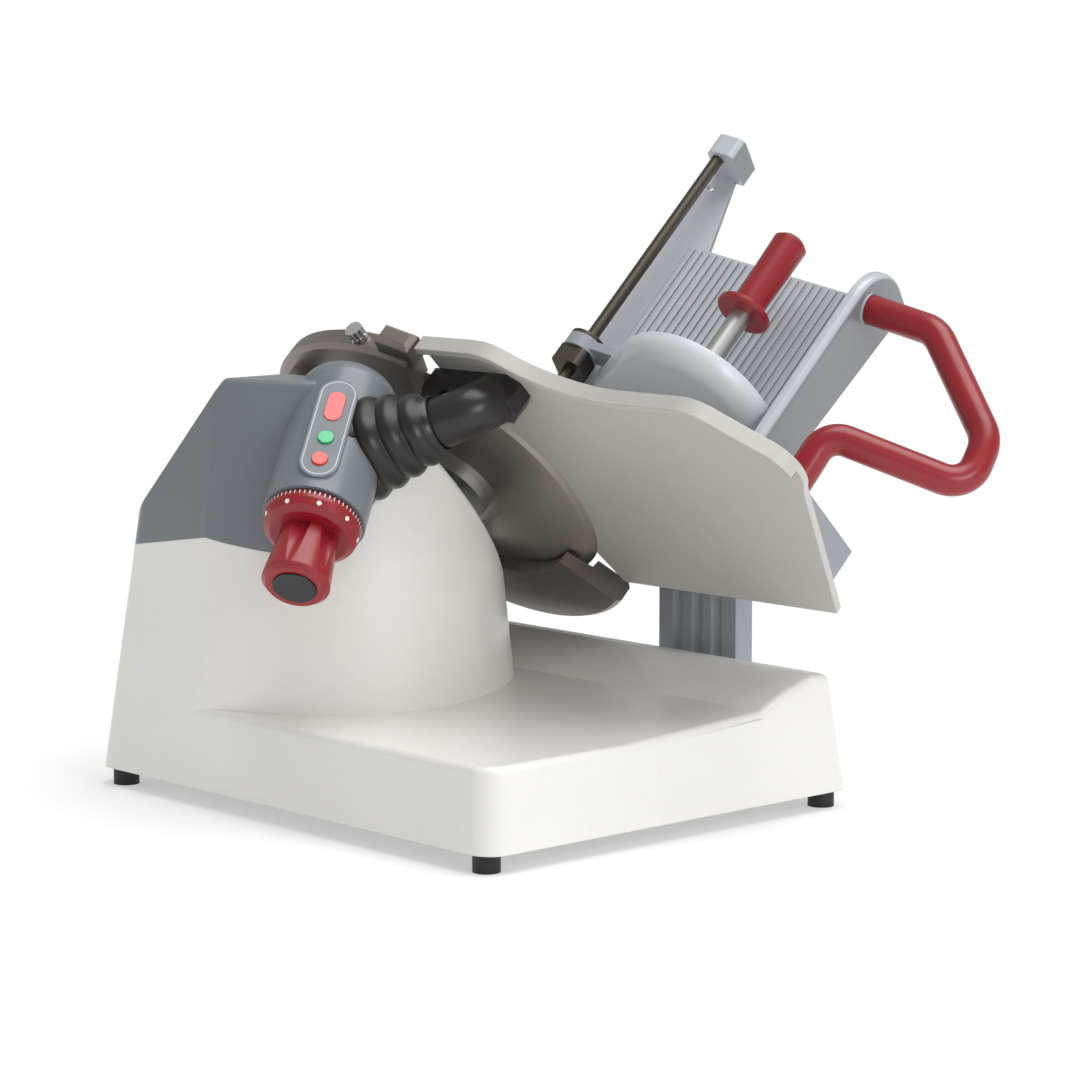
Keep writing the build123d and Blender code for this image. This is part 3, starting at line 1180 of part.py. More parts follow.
def front_wall():
    """Wall at the operator's end, hollow from below, with the handle's boss."""
    place = TABLE.location * Plane.ZY.location
    wall = raised(wall_outline(0.0), (-WALL_INNER, -WALL_OUTER))
    outer_edges = wall.edges().group_by(Axis.Z)[-1].sort_by(Axis.Y)
    wall = fillet(outer_edges[-2:], WALL_EDGE_ROUND)
    wall -= raised(wall_outline(WALL_SHEET), (-WALL_INNER + WALL_SHEET, -WALL_OUTER - WALL_SHEET))
    boss = TABLE.location * Pos(0, HANDLE_TOP_LIFT, HANDLE_TOP_N) * Rot(0, -90, 0)
    boss *= rod(BOSS_RADIUS, (-WALL_INNER, -WALL_OUTER + BOSS_PROUD))
    return place * wall + boss


def product_tray():
    floor = block((WALL_INNER - WALL_SHEET, TABLE_BACK), (FLOOR_UNDER, FLOOR_LIFT), TABLE_N)
    count = int((RIBS_BACK - WALL_INNER - RIB_MARGIN) / RIB_PITCH)
    for i in range(count):
        across = RIBS_BACK - (i + 1) * RIB_PITCH
        floor += block((across, across + RIB_WIDTH), (FLOOR_LIFT - 1, FLOOR_LIFT + RIB_HEIGHT),
                       (TABLE_N[0] + RIB_MARGIN, TABLE_N[1] - RIB_MARGIN))
    wing = ((TABLE_BACK, TABLE_N[1] - RIB_MARGIN), (TABLE_BACK, WING_N), (WING_TIP, WING_N),
            (WING_ROOT, TABLE_N[1]), (WING_ROOT, TABLE_N[1] - RIB_MARGIN))
    wing_sheet = Rot(90, 0, 0) * prism(wing, (-FLOOR_LIFT, -FLOOR_UNDER))
    half = ROD_BLOCK_HALF
    blocks = ((TABLE_N[0], TABLE_N[0] + ROD_FOOT_BLOCK, half),
              (WING_N - ROD_HEAD_BLOCK, WING_N, ROD_HEAD_REACH))
    for start, end, reach in blocks:
        lug = block((PUSHER_ROD_ACROSS - reach, PUSHER_ROD_ACROSS + half),
                    (FLOOR_UNDER, PUSHER_ROD_LIFT + half), (start, end))
        floor += fillet(lug.edges().filter_by(Axis.Z).group_by(Axis.Y)[-1], ROD_BLOCK_ROUND)
    hang_hole = Pos(TABLE_BACK - HANG_HOLE_INSETS[0], 0, WING_N - HANG_HOLE_INSETS[1])
    wing_sheet -= hang_hole * Rot(90, 0, 0) * rod(HANG_HOLE_RADIUS, (-SPAN, SPAN))
    tray = TABLE.location * (floor + wing_sheet) + front_wall()
    tray -= pusher_rod_place() * rod(PUSHER_ROD_RADIUS + FIT / 2, pusher_rod_span())
    screw_n = HANDLE_TOP_N
    hole = TABLE.location * Pos(0, HANDLE_TOP_LIFT, screw_n) * Rot(0, -90, 0)
    return tray - hole * rod(HANDLE_SCREW_RADIUS + FIT, (0, SPAN))


def pusher_rod_place():
    return TABLE.location * Pos(PUSHER_ROD_ACROSS, PUSHER_ROD_LIFT, 0)


def pusher_rod_span():
    return (TABLE_N[0] + SEAT, WING_N - ROD_HEAD_BLOCK / 3)


def pusher_rod():
    return pusher_rod_place() * rod(PUSHER_ROD_RADIUS, pusher_rod_span())


def handle_path_points():
    """Corners of the handle in the table frame, from the wall's boss to the saddle."""
    top = Vector(WALL_OUTER - BOSS_PROUD, HANDLE_TOP_LIFT, HANDLE_TOP_N)
    foot = TABLE.to_local_coords(CUT.from_local_coords(Vector(HANDLE_END_Y, HANDLE_END_RISE, SADDLE_N[1])))
    return (top, *(Vector(*knee) for knee in HANDLE_KNEES), foot)


def carriage_handle():
    points = handle_path_points()
    first = points[0] - (points[1] - points[0]).normalized() * HANDLE_RADIUS
    last = points[-1] - (points[-2] - points[-1]).normalized() * HANDLE_RADIUS
    handle = TABLE.location * swept((first, *points[1:-1], last), HANDLE_BENDS, HANDLE_RADIUS)
    handle -= TABLE.location * block((WALL_OUTER - BOSS_PROUD, SPAN), (-SPAN, SPAN), (0, 2 * SPAN))
    handle -= CUT.location * block((-SPAN, SPAN), (-SPAN, SPAN), (0, SADDLE_N[1]))
    for place in handle_screw_places():
        handle -= place * rod(HANDLE_SCREW_RADIUS + FIT, (-SPAN, HANDLE_SCREW_GRIP + SEAT))
    return handle


def handle_screw_places():
    """Places on the handle's two seats, pointing into the handle."""
    top = TABLE.location * Pos(WALL_OUTER - BOSS_PROUD, HANDLE_TOP_LIFT, HANDLE_TOP_N) * Rot(0, -90, 0)
    return (top, CUT.location * handle_foot())


def handle_screws():
    top, bottom = handle_screw_places()
    wall_depth = WALL_INNER - WALL_OUTER + BOSS_PROUD
    saddle_depth = SADDLE_N[1] - SADDLE_N[0]
    upper = top * rod(HANDLE_SCREW_RADIUS, (-wall_depth, HANDLE_SCREW_GRIP))
    lower = bottom * rod(HANDLE_SCREW_RADIUS, (-saddle_depth, HANDLE_SCREW_GRIP))
    return group((upper, lower))


def pusher_slider():
    body = rod(SLIDER_RADIUS, SLIDER_N)
    half = (-SLIDER_BLOCK_HALF, SLIDER_BLOCK_HALF)
    guide = block(half, half, (SLIDER_N[0], SLIDER_N[0] + SLIDER_BLOCK))
    body += fillet(guide.edges().filter_by(Axis.Z), SLIDER_BLOCK_ROUND)
    body += rod(SLIDER_COLLAR_RADIUS, (SLIDER_N[1] - SLIDER_COLLAR, SLIDER_N[1]))
    return pusher_rod_place() * (body - rod(PUSHER_ROD_RADIUS + RUN, SLIDER_N))


def pusher_arm():
    hub_n = (SLIDER_N[0] + SLIDER_BLOCK + HUB_GAP, SLIDER_N[1] - SLIDER_COLLAR - HUB_GAP)
    place = Pos(PUSHER_ROD_ACROSS, PUSHER_ROD_LIFT, 0)
    back = PUSHER_N + PUSHER_THICKNESS
    arm = block((PUSHER_ARM_INNER, PUSHER_ROD_ACROSS), PUSHER_ARM_LIFT, (back, back + PUSHER_ARM_THICKNESS))
    arm += place * rod(HUB_RADIUS, hub_n)
    return TABLE.location * (arm - place * rod(SLIDER_RADIUS + RUN, SLIDER_N))


def pusher_plate():
    bottom = FLOOR_LIFT + RIB_HEIGHT + PUSHER_FLOOR_GAP
    edges = Spline(*PUSHER_DOME)
    edges += Polyline(PUSHER_DOME[-1], (PUSHER_RIGHT, bottom), (PUSHER_LEFT, bottom), PUSHER_DOME[0])
    plate = raised(make_face(edges), (PUSHER_N, PUSHER_N + PUSHER_THICKNESS))
    plate = fillet(plate.edges().filter_by(GeomType.BSPLINE).sort_by(Axis.Z)[0], PUSHER_ROUND)
    block_room = rod(SLIDER_BLOCK_HALF * sqrt(2) + SLIDER_CLEARANCE, (0, SPAN))
    plate -= Pos(PUSHER_ROD_ACROSS, PUSHER_ROD_LIFT, 0) * block_room
    for place in spike_places():
        plate -= place * rod(SPIKE_RADIUS + FIT / 2, (PUSHER_N, PUSHER_N + SPIKE_SEAT))
    return TABLE.location * plate


def spike_places():
    """Places of the pusher's spikes in the table frame."""
    return [Pos(SPIKE_START - SPIKE_PITCH * i, SPIKE_LIFT + SPIKE_ROW_PITCH * j, 0)
            for i in range(SPIKE_COLUMNS) for j in range(SPIKE_ROWS)]


def pusher_spikes():
    spike = rod(SPIKE_RADIUS, (PUSHER_N, PUSHER_N + SPIKE_SEAT))
    spike += Pos(0, 0, PUSHER_N - SPIKE_LENGTH) * Cone(
        SPIKE_RADIUS / 4, SPIKE_RADIUS, SPIKE_LENGTH, align=(Align.CENTER, Align.CENTER, Align.MIN))
    return group(TABLE.location * place * spike for place in spike_places())


def pusher_stem():
    place = TABLE.location * Pos(STEM_ACROSS, STEM_LIFT, 0)
    return place * rod(STEM_RADIUS, (PUSHER_N + PUSHER_THICKNESS, STEM_END))


def pusher_grip():
    body_start = GRIP_START + GRIP_FLANGE
    grip = turned(((0, GRIP_START), (GRIP_FLANGE_RADIUS - 2, GRIP_START),
                   (GRIP_FLANGE_RADIUS, GRIP_START + 2),
                   (GRIP_FLANGE_RADIUS, body_start - 2), (GRIP_FLANGE_RADIUS - 2, body_start),
                   (GRIP_RADIUS, body_start),
                   (GRIP_END_RADIUS, GRIP_END - GRIP_ROUND), (GRIP_END_RADIUS - GRIP_ROUND, GRIP_END),
                   (0, GRIP_END)))
    place = TABLE.location * Pos(STEM_ACROSS, STEM_LIFT, 0)
    return place * (grip - rod(STEM_RADIUS + FIT / 2, (GRIP_START, STEM_END + SEAT)))


def assembly():
    """Every piece by name."""
    start_place, stop_place = button_places()
    return {
        "base_casting": base_casting(),
        "bottom_cover": bottom_cover(),
        "bottom_cover_screws": bottom_cover_screws(),
        "foot_front_left": foot(-FOOT_X, -FOOT_Y),
        "foot_front_right": foot(FOOT_X, -FOOT_Y),
        "foot_rear_left": foot(-FOOT_X, FOOT_Y),
        "foot_rear_right": foot(FOOT_X, FOOT_Y),
        "foot_screws": foot_screws(),
        "upper_housing": upper_housing(),
        "housing_screws": housing_screws(),
        "cord_inlet": cord_inlet(),
        "control_panel": control_panel(),
        "indicator_lens": indicator_lens(),
        "start_button": button(start_place),
        "stop_button": button(stop_place),
        "switch_block": switch_block(),
        "knife_blade": knife_blade(),
        "knife_shaft": knife_shaft(),
        "knife_screws": knife_screws(),
        "knife_pulley": KNIFE * pulley(KNIFE_PULLEY_RADIUS, SHAFT_RADIUS + FIT / 2),
        "bearing_housing": bearing_housing(),
        "knife_bearing_front": bearing(NOSE_W - BEARING_WIDTH),
        "knife_bearing_rear": bearing(HOUSING_END_W),
        "bearing_screws": bearing_screws(),
        "motor_body": motor_body(),
        "motor_shaft": motor_shaft(),
        "motor_pulley": motor_place() * pulley(MOTOR_PULLEY_RADIUS, MOTOR_SHAFT_RADIUS + FIT / 2),
        "motor_bracket": motor_bracket(),
        "drive_belt": drive_belt(),
        "ring_guard": ring_guard(),
        "cover_latch_knob": cover_latch_knob(),
        "knife_cover": knife_cover(),
        "gauge_plate": gauge_plate(),
        "gauge_arm": gauge_arm(),
        "gauge_screws": gauge_screws(),
        "gauge_slide_bar": gauge_slide_bar(),
        "gauge_guide": gauge_guide(),
        "gauge_boot": gauge_boot(),
        "index_nut": index_nut(),
        "index_spindle": index_spindle(),
        "index_knob": index_knob(),
        "index_dial": index_dial(),
        "knob_cap": knob_cap(),
        "carriage_rod": carriage_rod_piece(ROD_X, ROD_RADIUS),
        "guide_rod": carriage_rod_piece(GUIDE_ROD_X, GUIDE_ROD_RADIUS),
        "carriage_truck": carriage_truck(),
        "truck_bushes": truck_bushes(),
        "pivot_pin": pivot_pin(),
        "carriage_arm": carriage_arm(),
        "carriage_saddle": carriage_saddle(),
        "product_tray": product_tray(),
        "carriage_handle": carriage_handle(),
        "handle_screws": handle_screws(),
        "pusher_rod": pusher_rod(),
        "pusher_slider": pusher_slider(),
        "pusher_arm": pusher_arm(),
        "pusher_plate": pusher_plate(),
        "pusher_spikes": pusher_spikes(),
        "pusher_stem": pusher_stem(),
        "pusher_grip": pusher_grip(),
    }


def home(pieces):
    """Move that brings the middle of the whole object's outline over the origin."""
    boxes = [piece.bounding_box() for piece in pieces.values()]
    middle_x = (min(box.min.X for box in boxes) + max(box.max.X for box in boxes)) / 2
    middle_y = (min(box.min.Y for box in boxes) + max(box.max.Y for box in boxes)) / 2
    return Pos(-middle_x, -middle_y, 0)


pieces = assembly()
place = home(pieces)
os.makedirs("parts", exist_ok=True)
for name, piece in pieces.items():
    export_step(place * piece, f"parts/{name}.step")
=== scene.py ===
"""Looks of the gravity-feed food slicer: finishes on its CAD pieces, its rubber boot, small trim."""
import json
from math import atan2, cos, pi, radians, sin

import bmesh
import bpy
from mathutils import Matrix, Vector


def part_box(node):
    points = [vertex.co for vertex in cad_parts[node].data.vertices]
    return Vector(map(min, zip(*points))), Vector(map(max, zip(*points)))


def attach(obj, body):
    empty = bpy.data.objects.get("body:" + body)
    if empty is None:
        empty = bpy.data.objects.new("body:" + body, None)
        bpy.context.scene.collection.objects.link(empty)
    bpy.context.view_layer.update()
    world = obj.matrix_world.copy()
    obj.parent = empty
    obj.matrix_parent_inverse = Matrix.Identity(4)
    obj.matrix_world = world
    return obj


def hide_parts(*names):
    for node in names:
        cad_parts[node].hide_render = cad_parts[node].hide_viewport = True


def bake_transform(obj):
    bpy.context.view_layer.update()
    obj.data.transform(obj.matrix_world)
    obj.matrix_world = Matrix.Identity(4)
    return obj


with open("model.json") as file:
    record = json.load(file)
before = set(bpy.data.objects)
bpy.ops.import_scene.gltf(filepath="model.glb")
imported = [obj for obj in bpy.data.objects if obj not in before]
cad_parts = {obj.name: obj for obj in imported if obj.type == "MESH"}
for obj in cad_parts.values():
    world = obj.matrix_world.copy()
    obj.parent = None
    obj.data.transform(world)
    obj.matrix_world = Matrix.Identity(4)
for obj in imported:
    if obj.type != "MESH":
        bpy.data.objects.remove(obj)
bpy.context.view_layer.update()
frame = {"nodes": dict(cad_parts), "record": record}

# Places in millimetres from the middle of the base on the floor, as the CAD has them
MM = 0.001
KNIFE_CENTRE = (104.1, 126.5, 310.14)
KNIFE_AXIS = (0.71386, 0.0, 0.70029)
INDEX_END = (-246.0, -34.0, 233.0)
INDEX_AXIS = (0.61213, 0.4067, 0.67816)
INDEX_UP = (-0.56485, -0.37529, 0.73491)
CYLINDER_RADIUS = 50.0
CYLINDER_REACH = (86.0, 262.0)
CYLINDER_SEGMENTS = 128
TOWER_MIDDLE = (-43.5, 163.0, 18.0)
TOWER_RADII = (196.3, 154.3)
TOWER_HEIGHT = 400.0
TOWER_SEGMENTS = 256
SEAT = 0.3
ARM_EXIT = (-110.53, 20.31, 348.82)
ARM_ELBOW = (-57.08, -64.0, 389.47)
PANEL_MIDDLE = (-172.85, 2.57, 378.02)
PANEL_ACROSS = (0.651, -0.74601, -0.14023)
PANEL_FACING = (-0.44888, -0.52732, 0.72141)
# Direction of the tray's outward sides, which get a painted shade
TRAY_OUTSIDE = (0.21641, -0.95106, -0.2206)

# White marks on the index dial
DIAL_END = 84.0
DIAL_RADIUS = 47.0
DIAL_STROKES = 60
DIAL_STROKE_SIZE = (0.5, 0.9, 3.8)
DIAL_STROKE_INSET = 2.6
DIAL_DOTS = 9
DIAL_DOT_RADIUS = 45.75
DIAL_DOT_DEPTH = 71.6
DIAL_DOT_LEAN = 16.0
DIAL_DOT_TURN = -17.0
DIAL_DOT_FOOT = 2.6
DIAL_DOT_TOP = 2.2
DIAL_DOT_HEIGHT = 0.8
DIAL_DOT_SEGMENTS = 20

# Pale line round the control panel
LINE_LENGTH = 118.0
LINE_WIDTH = 34.0
LINE_THICKNESS = 1.3
LINE_HEIGHT = 0.3
LINE_SEGMENTS = 48
MIDDLE_GAP = 0.001

# Rubber boot
BOOT_OVAL = (0.51815, 0.6151, 0.59428)
BOOT_RIBS = 5
BOOT_START = -28.0
BOOT_PITCH = 20.0
BOOT_LONG = 49.0
BOOT_SHORT = 54.0
BOOT_CUFF_RADIUS = 29.0
BOOT_CUFF_END = 78.0
BOOT_RIB = 5.0
BOOT_SHIFT = (-4.5, 13.8)
BOOT_SQUARENESS = 0.7
BOOT_SHEET = 2.5
BOOT_SEGMENTS = 96
BOOT_RINGS_PER_RIB = 16
BOOT_CREST = 0.4
OVAL_POWER = 2.0

# Masks of the finishes
EDGE_SAMPLES = 6
EDGE_SPAN = (0.04, 0.25)
FACING_SPAN = (0.8, 0.95)

# Camera that took the photograph
CAMERA_PLACE = (-2296.0, -2625.0, 707.5)
CAMERA_TURN = -42.35
CAMERA_DROP = 7.39
CAMERA_LENS = 118.6
CAMERA_SENSOR = 36.0

# Studio
WHITE = (1.0, 1.0, 1.0, 1.0)
SURROUND_LIGHT = 0.44
SUN_FROM = (0.2, -0.2, 0.95)
SUN_SPREAD = 50.0
SUN_STRENGTH = 2.0
FLOOR_RADIUS = 60.0
FLOOR_SEGMENTS = 64
FLOOR_DULL = (0.61, 0.61, 0.61, 1.0)
FLOOR_PALE = (0.63, 0.63, 0.63, 1.0)
FLOOR_GLOW = 0.38
STRIP_PLACE = (-0.3, -2.4, 1.0)
STRIP_AIM = (-0.1, 0.0, 0.3)
STRIP_SIZE = 0.8
STRIP_POWER = 13.0

base_low, base_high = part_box("bottom_cover")
MIDDLE = Vector(((base_low.x + base_high.x) / 2, (base_low.y + base_high.y) / 2, 0.0))


def at(point):
    """Point of the scene from millimetres."""
    return MIDDLE + Vector(point) * MM


def set_at(origin, x_axis, z_axis):
    """Matrix that takes millimetres in a turned frame to the scene."""
    z = Vector(z_axis).normalized()
    x = Vector(x_axis)
    x = (x - x.project(z)).normalized()
    turn = Matrix((x, z.cross(x), z)).transposed().to_4x4()
    return Matrix.Translation(at(origin)) @ turn @ Matrix.Scale(MM, 4)


def tone(red, green, blue):
    """Linear colour of a colour as a screen shows it."""
    return tuple(((part / 255 + 0.055) / 1.055) ** 2.4 for part in (red, green, blue)) + (1.0,)


def shade(colour, factor):
    """Colour made darker or lighter."""
    return tuple(part * factor for part in colour[:3]) + (1.0,)


class Socket:
    """Output of a material's node that takes part in sums as a number does."""

    def __init__(self, paint, out):
        self.paint = paint
        self.out = out

    def sum(self, operation, first, second):
        return self.paint.node("ShaderNodeMath", {"operation": operation}, {0: first, 1: second})

    def __add__(self, other):
        return self.sum("ADD", self, other)

    __radd__ = __add__

    def __mul__(self, other):
        return self.sum("MULTIPLY", self, other)

    __rmul__ = __mul__

    def __sub__(self, other):
        return self.sum("SUBTRACT", self, other)

    def __rsub__(self, other):
        return self.sum("SUBTRACT", other, self)


class Paint:
    """Node material under construction, round its Principled shader."""

    def __init__(self, name, fixed):
        self.material = bpy.data.materials.new(name)
        self.material.use_nodes = True
        self.tree = self.material.node_tree
        self.shader = self.tree.nodes["Principled BSDF"]
        self.feed(self.shader, fixed)
        self.place = self.node("ShaderNodeTexCoord", {}, {}, "Object")

    def node(self, kind, settings, sockets, output=0):
        made = self.tree.nodes.new(kind)
        for name, value in settings.items():
            setattr(made, name, value)
        self.feed(made, sockets)
        return Socket(self, made.outputs[output])

    def feed(self, made, sockets):
        for key, value in sockets.items():
            if isinstance(value, Socket):
                self.tree.links.new(value.out, made.inputs[key])
            else:
                made.inputs[key].default_value = value

    def stretched(self, scale):
        """Object coordinates drawn out by a scale along each axis."""
        return self.node("ShaderNodeMapping", {}, {"Vector": self.place, "Scale": scale})

    def noise(self, scale, detail, place=None):
        """Cloudy value over the object's coordinates or other ones."""
        sockets = {"Vector": place or self.place, "Scale": scale, "Detail": detail}
        return self.node("ShaderNodeTexNoise", {}, sockets)

    def ring_noise(self, radius, scale, detail):
        """Cloudy value that changes with a radius alone."""
        sockets = {"W": radius, "Scale": scale, "Detail": detail}
        return self.node("ShaderNodeTexNoise", {"noise_dimensions": "1D"}, sockets)

    def between(self, value, low, high):
        """Value spread from 0 at low to 1 at high."""
        sockets = {"Value": value, "From Min": low, "From Max": high}
        return self.node("ShaderNodeMapRange", {}, sockets)

    def mix(self, share, first, second):
        """Colour between two colours."""
        sockets = {0: share, 6: first, 7: second}
        return self.node("ShaderNodeMix", {"data_type": "RGBA"}, sockets, 2)

    def vector(self, operation, first, second, output=0):
        sockets = {0: first, 1: second}
        return self.node("ShaderNodeVectorMath", {"operation": operation}, sockets, output)

    def rounded(self, radius):
        """Normal that runs round sharp edges, and a mask that is 1 on those edges."""
        normal = self.node("ShaderNodeBevel", {"samples": EDGE_SAMPLES}, {"Radius": radius * MM})
        true_normal = self.node("ShaderNodeNewGeometry", {}, {}, "True Normal")
        facing = self.vector("DOT_PRODUCT", normal, true_normal, "Value")
        return normal, self.between(1 - facing, *EDGE_SPAN)

    def facing(self, direction):
        """Mask that is 1 on flat sides that face a direction."""
        true_normal = self.node("ShaderNodeNewGeometry", {}, {}, "True Normal")
        facing = self.vector("DOT_PRODUCT", true_normal, direction, "Value")
        return self.between(facing, *FACING_SPAN)

    def radius_from(self, centre, axis):
        """Distance from a line through a centre along an axis, in metres."""
        direction = tuple(Vector(axis).normalized())
        reach = self.vector("SUBTRACT", self.place, tuple(at(centre)))
        side = self.vector("CROSS_PRODUCT", reach, direction)
        return self.node("ShaderNodeVectorMath", {"operation": "LENGTH"}, {0: side}, "Value")

    def dress(self, colour, roughness, height, depth, normal):
        """Joins what varies to the shader, with a bump whose depth is in millimetres."""
        sockets = {"Strength": 1.0, "Distance": depth * MM, "Height": height, "Normal": normal}
        bump = self.node("ShaderNodeBump", {}, sockets)
        self.feed(self.shader, {"Base Color": colour, "Roughness": roughness, "Normal": bump})
        return self.material


def enamel(name, colour, roughness, rounding, wear=0.0, metallic=0.0, painted_shade_side=None):
    """Sprayed enamel: slow tone shifts, orange peel, rubbed edges, and painted shade on the sides
    that face one direction.
    """
    dull = shade(colour, 0.965)
    pale = shade(colour, 1.02)
    soil = shade(colour, 0.72)
    rub = shade(colour, 1.35)
    painted_side_shade = shade(colour, 0.42)
    paint = Paint(name, {"Metallic": metallic, "Coat Weight": 0.25, "Coat Roughness": 0.18})
    normal, edge = paint.rounded(rounding)
    cloud = paint.between(paint.noise(scale=5.0, detail=3.0), low=0.35, high=0.65)
    speck = paint.between(paint.noise(scale=240.0, detail=4.0), low=0.56, high=0.72)
    body = paint.mix(cloud, dull, pale)
    soiled = paint.mix(speck * 0.12, body, soil)
    rubbed = paint.mix(edge * wear, soiled, rub)
    # Sides that face the given direction are painted darker: a painted shade
    if painted_shade_side:
        rubbed = paint.mix(paint.facing(painted_shade_side), rubbed, painted_side_shade)
    gloss = roughness + 0.07 * paint.noise(scale=30.0, detail=3.0) + 0.08 * speck
    peel = paint.noise(scale=420.0, detail=1.0)
    return paint.dress(rubbed, gloss, peel, 0.05, normal)


def moulded(name, colour, roughness, rounding, grain=900.0, depth=0.04, coat=0.0):
    """Moulded plastic: fine spark-eroded grain, faint flow marks and handled edges."""
    dull = shade(colour, 0.9)
    pale = shade(colour, 1.06)
    rub = shade(colour, 1.5)
    paint = Paint(name, {"Coat Weight": coat, "Coat Roughness": 0.12})
    normal, edge = paint.rounded(rounding)
    flow = paint.between(paint.noise(scale=22.0, detail=4.0), low=0.3, high=0.7)
    body = paint.mix(flow, dull, pale)
    handled = paint.mix(edge * 0.25, body, rub)
    gloss = roughness + 0.1 * paint.noise(scale=60.0, detail=3.0) - 0.08 * edge
    return paint.dress(handled, gloss, paint.noise(grain, detail=2.0), depth, normal)


def metal(name, colour, roughness, rounding, stretch=(1.0, 1.0, 1.0), grain=500.0, depth=0.012):
    """Worked metal: grain drawn out along one axis, cloudy polish and brighter edges."""
    dull = shade(colour, 0.88)
    pale = shade(colour, 1.06)
    rub = shade(colour, 1.4)
    paint = Paint(name, {"Metallic": 1.0})
    normal, edge = paint.rounded(rounding)
    grain_lines = paint.noise(grain, detail=3.0, place=paint.stretched(stretch))
    cloud = paint.noise(scale=14.0, detail=4.0)
    body = paint.mix(paint.between(grain_lines, low=0.3, high=0.7), dull, pale)
    bright = paint.mix(edge * 0.5, body, rub)
    gloss = roughness + 0.12 * cloud + 0.1 * grain_lines - 0.06 * edge
    return paint.dress(bright, gloss, grain_lines, depth, normal)


def knife_turned(name, colour, roughness, rounding, metallic):
    """Metal finished on a lathe: fine rings round the knife's axis."""
    dull = shade(colour, 0.9)
    pale = shade(colour, 1.08)
    stain = shade(colour, 0.6)
    paint = Paint(name, {"Metallic": metallic})
    normal, edge = paint.rounded(rounding)
    radius = paint.radius_from(KNIFE_CENTRE, KNIFE_AXIS)
    rings = paint.ring_noise(radius, scale=1400.0, detail=4.0)
    broad = paint.ring_noise(radius, scale=90.0, detail=2.0)
    smear = paint.noise(scale=18.0, detail=4.0)
    body = paint.mix(rings, dull, pale)
    stained = paint.mix(paint.between(smear, low=0.5, high=0.75) * 0.2, body, stain)
    gloss = roughness + 0.1 * rings + 0.08 * broad + 0.05 * smear - 0.05 * edge
    return paint.dress(stained, gloss, rings, 0.006, normal)


def rubber(name, colour, roughness, rounding):
    """Moulded rubber: soft bloom, fine pores and rubbed edges."""
    dusty = shade(colour, 1.5)
    rub = shade(colour, 1.8)
    paint = Paint(name, {"Sheen Weight": 0.06, "Sheen Roughness": 0.5})
    normal, edge = paint.rounded(rounding)
    bloom = paint.between(paint.noise(scale=35.0, detail=5.0), low=0.4, high=0.7)
    pores = paint.noise(scale=1300.0, detail=2.0)
    body = paint.mix(bloom * 0.5, colour, dusty)
    rubbed = paint.mix(edge * 0.3, body, rub)
    gloss = roughness + 0.12 * bloom - 0.06 * edge
    return paint.dress(rubbed, gloss, pores, 0.05, normal)


def painted_glow_cap(name, colour, painted_glow):
    """Clear coloured cap with a faint painted glow in its own colour."""
    pale = shade(colour, 1.25)
    dark = shade(colour, 0.7)
    # The emission in the cap's own colour is a painted glow, not a lamp
    paint = Paint(name, {"Coat Weight": 0.6, "Coat Roughness": 0.05, "Emission Color": colour,
                         "Emission Strength": painted_glow})
    normal, edge = paint.rounded(0.8)
    cloud = paint.noise(scale=120.0, detail=2.0)
    body = paint.mix(cloud * 0.3, colour, pale)
    rim = paint.mix(edge * 0.4, body, dark)
    return paint.dress(rim, 0.22 + 0.08 * cloud, cloud, 0.01, normal)


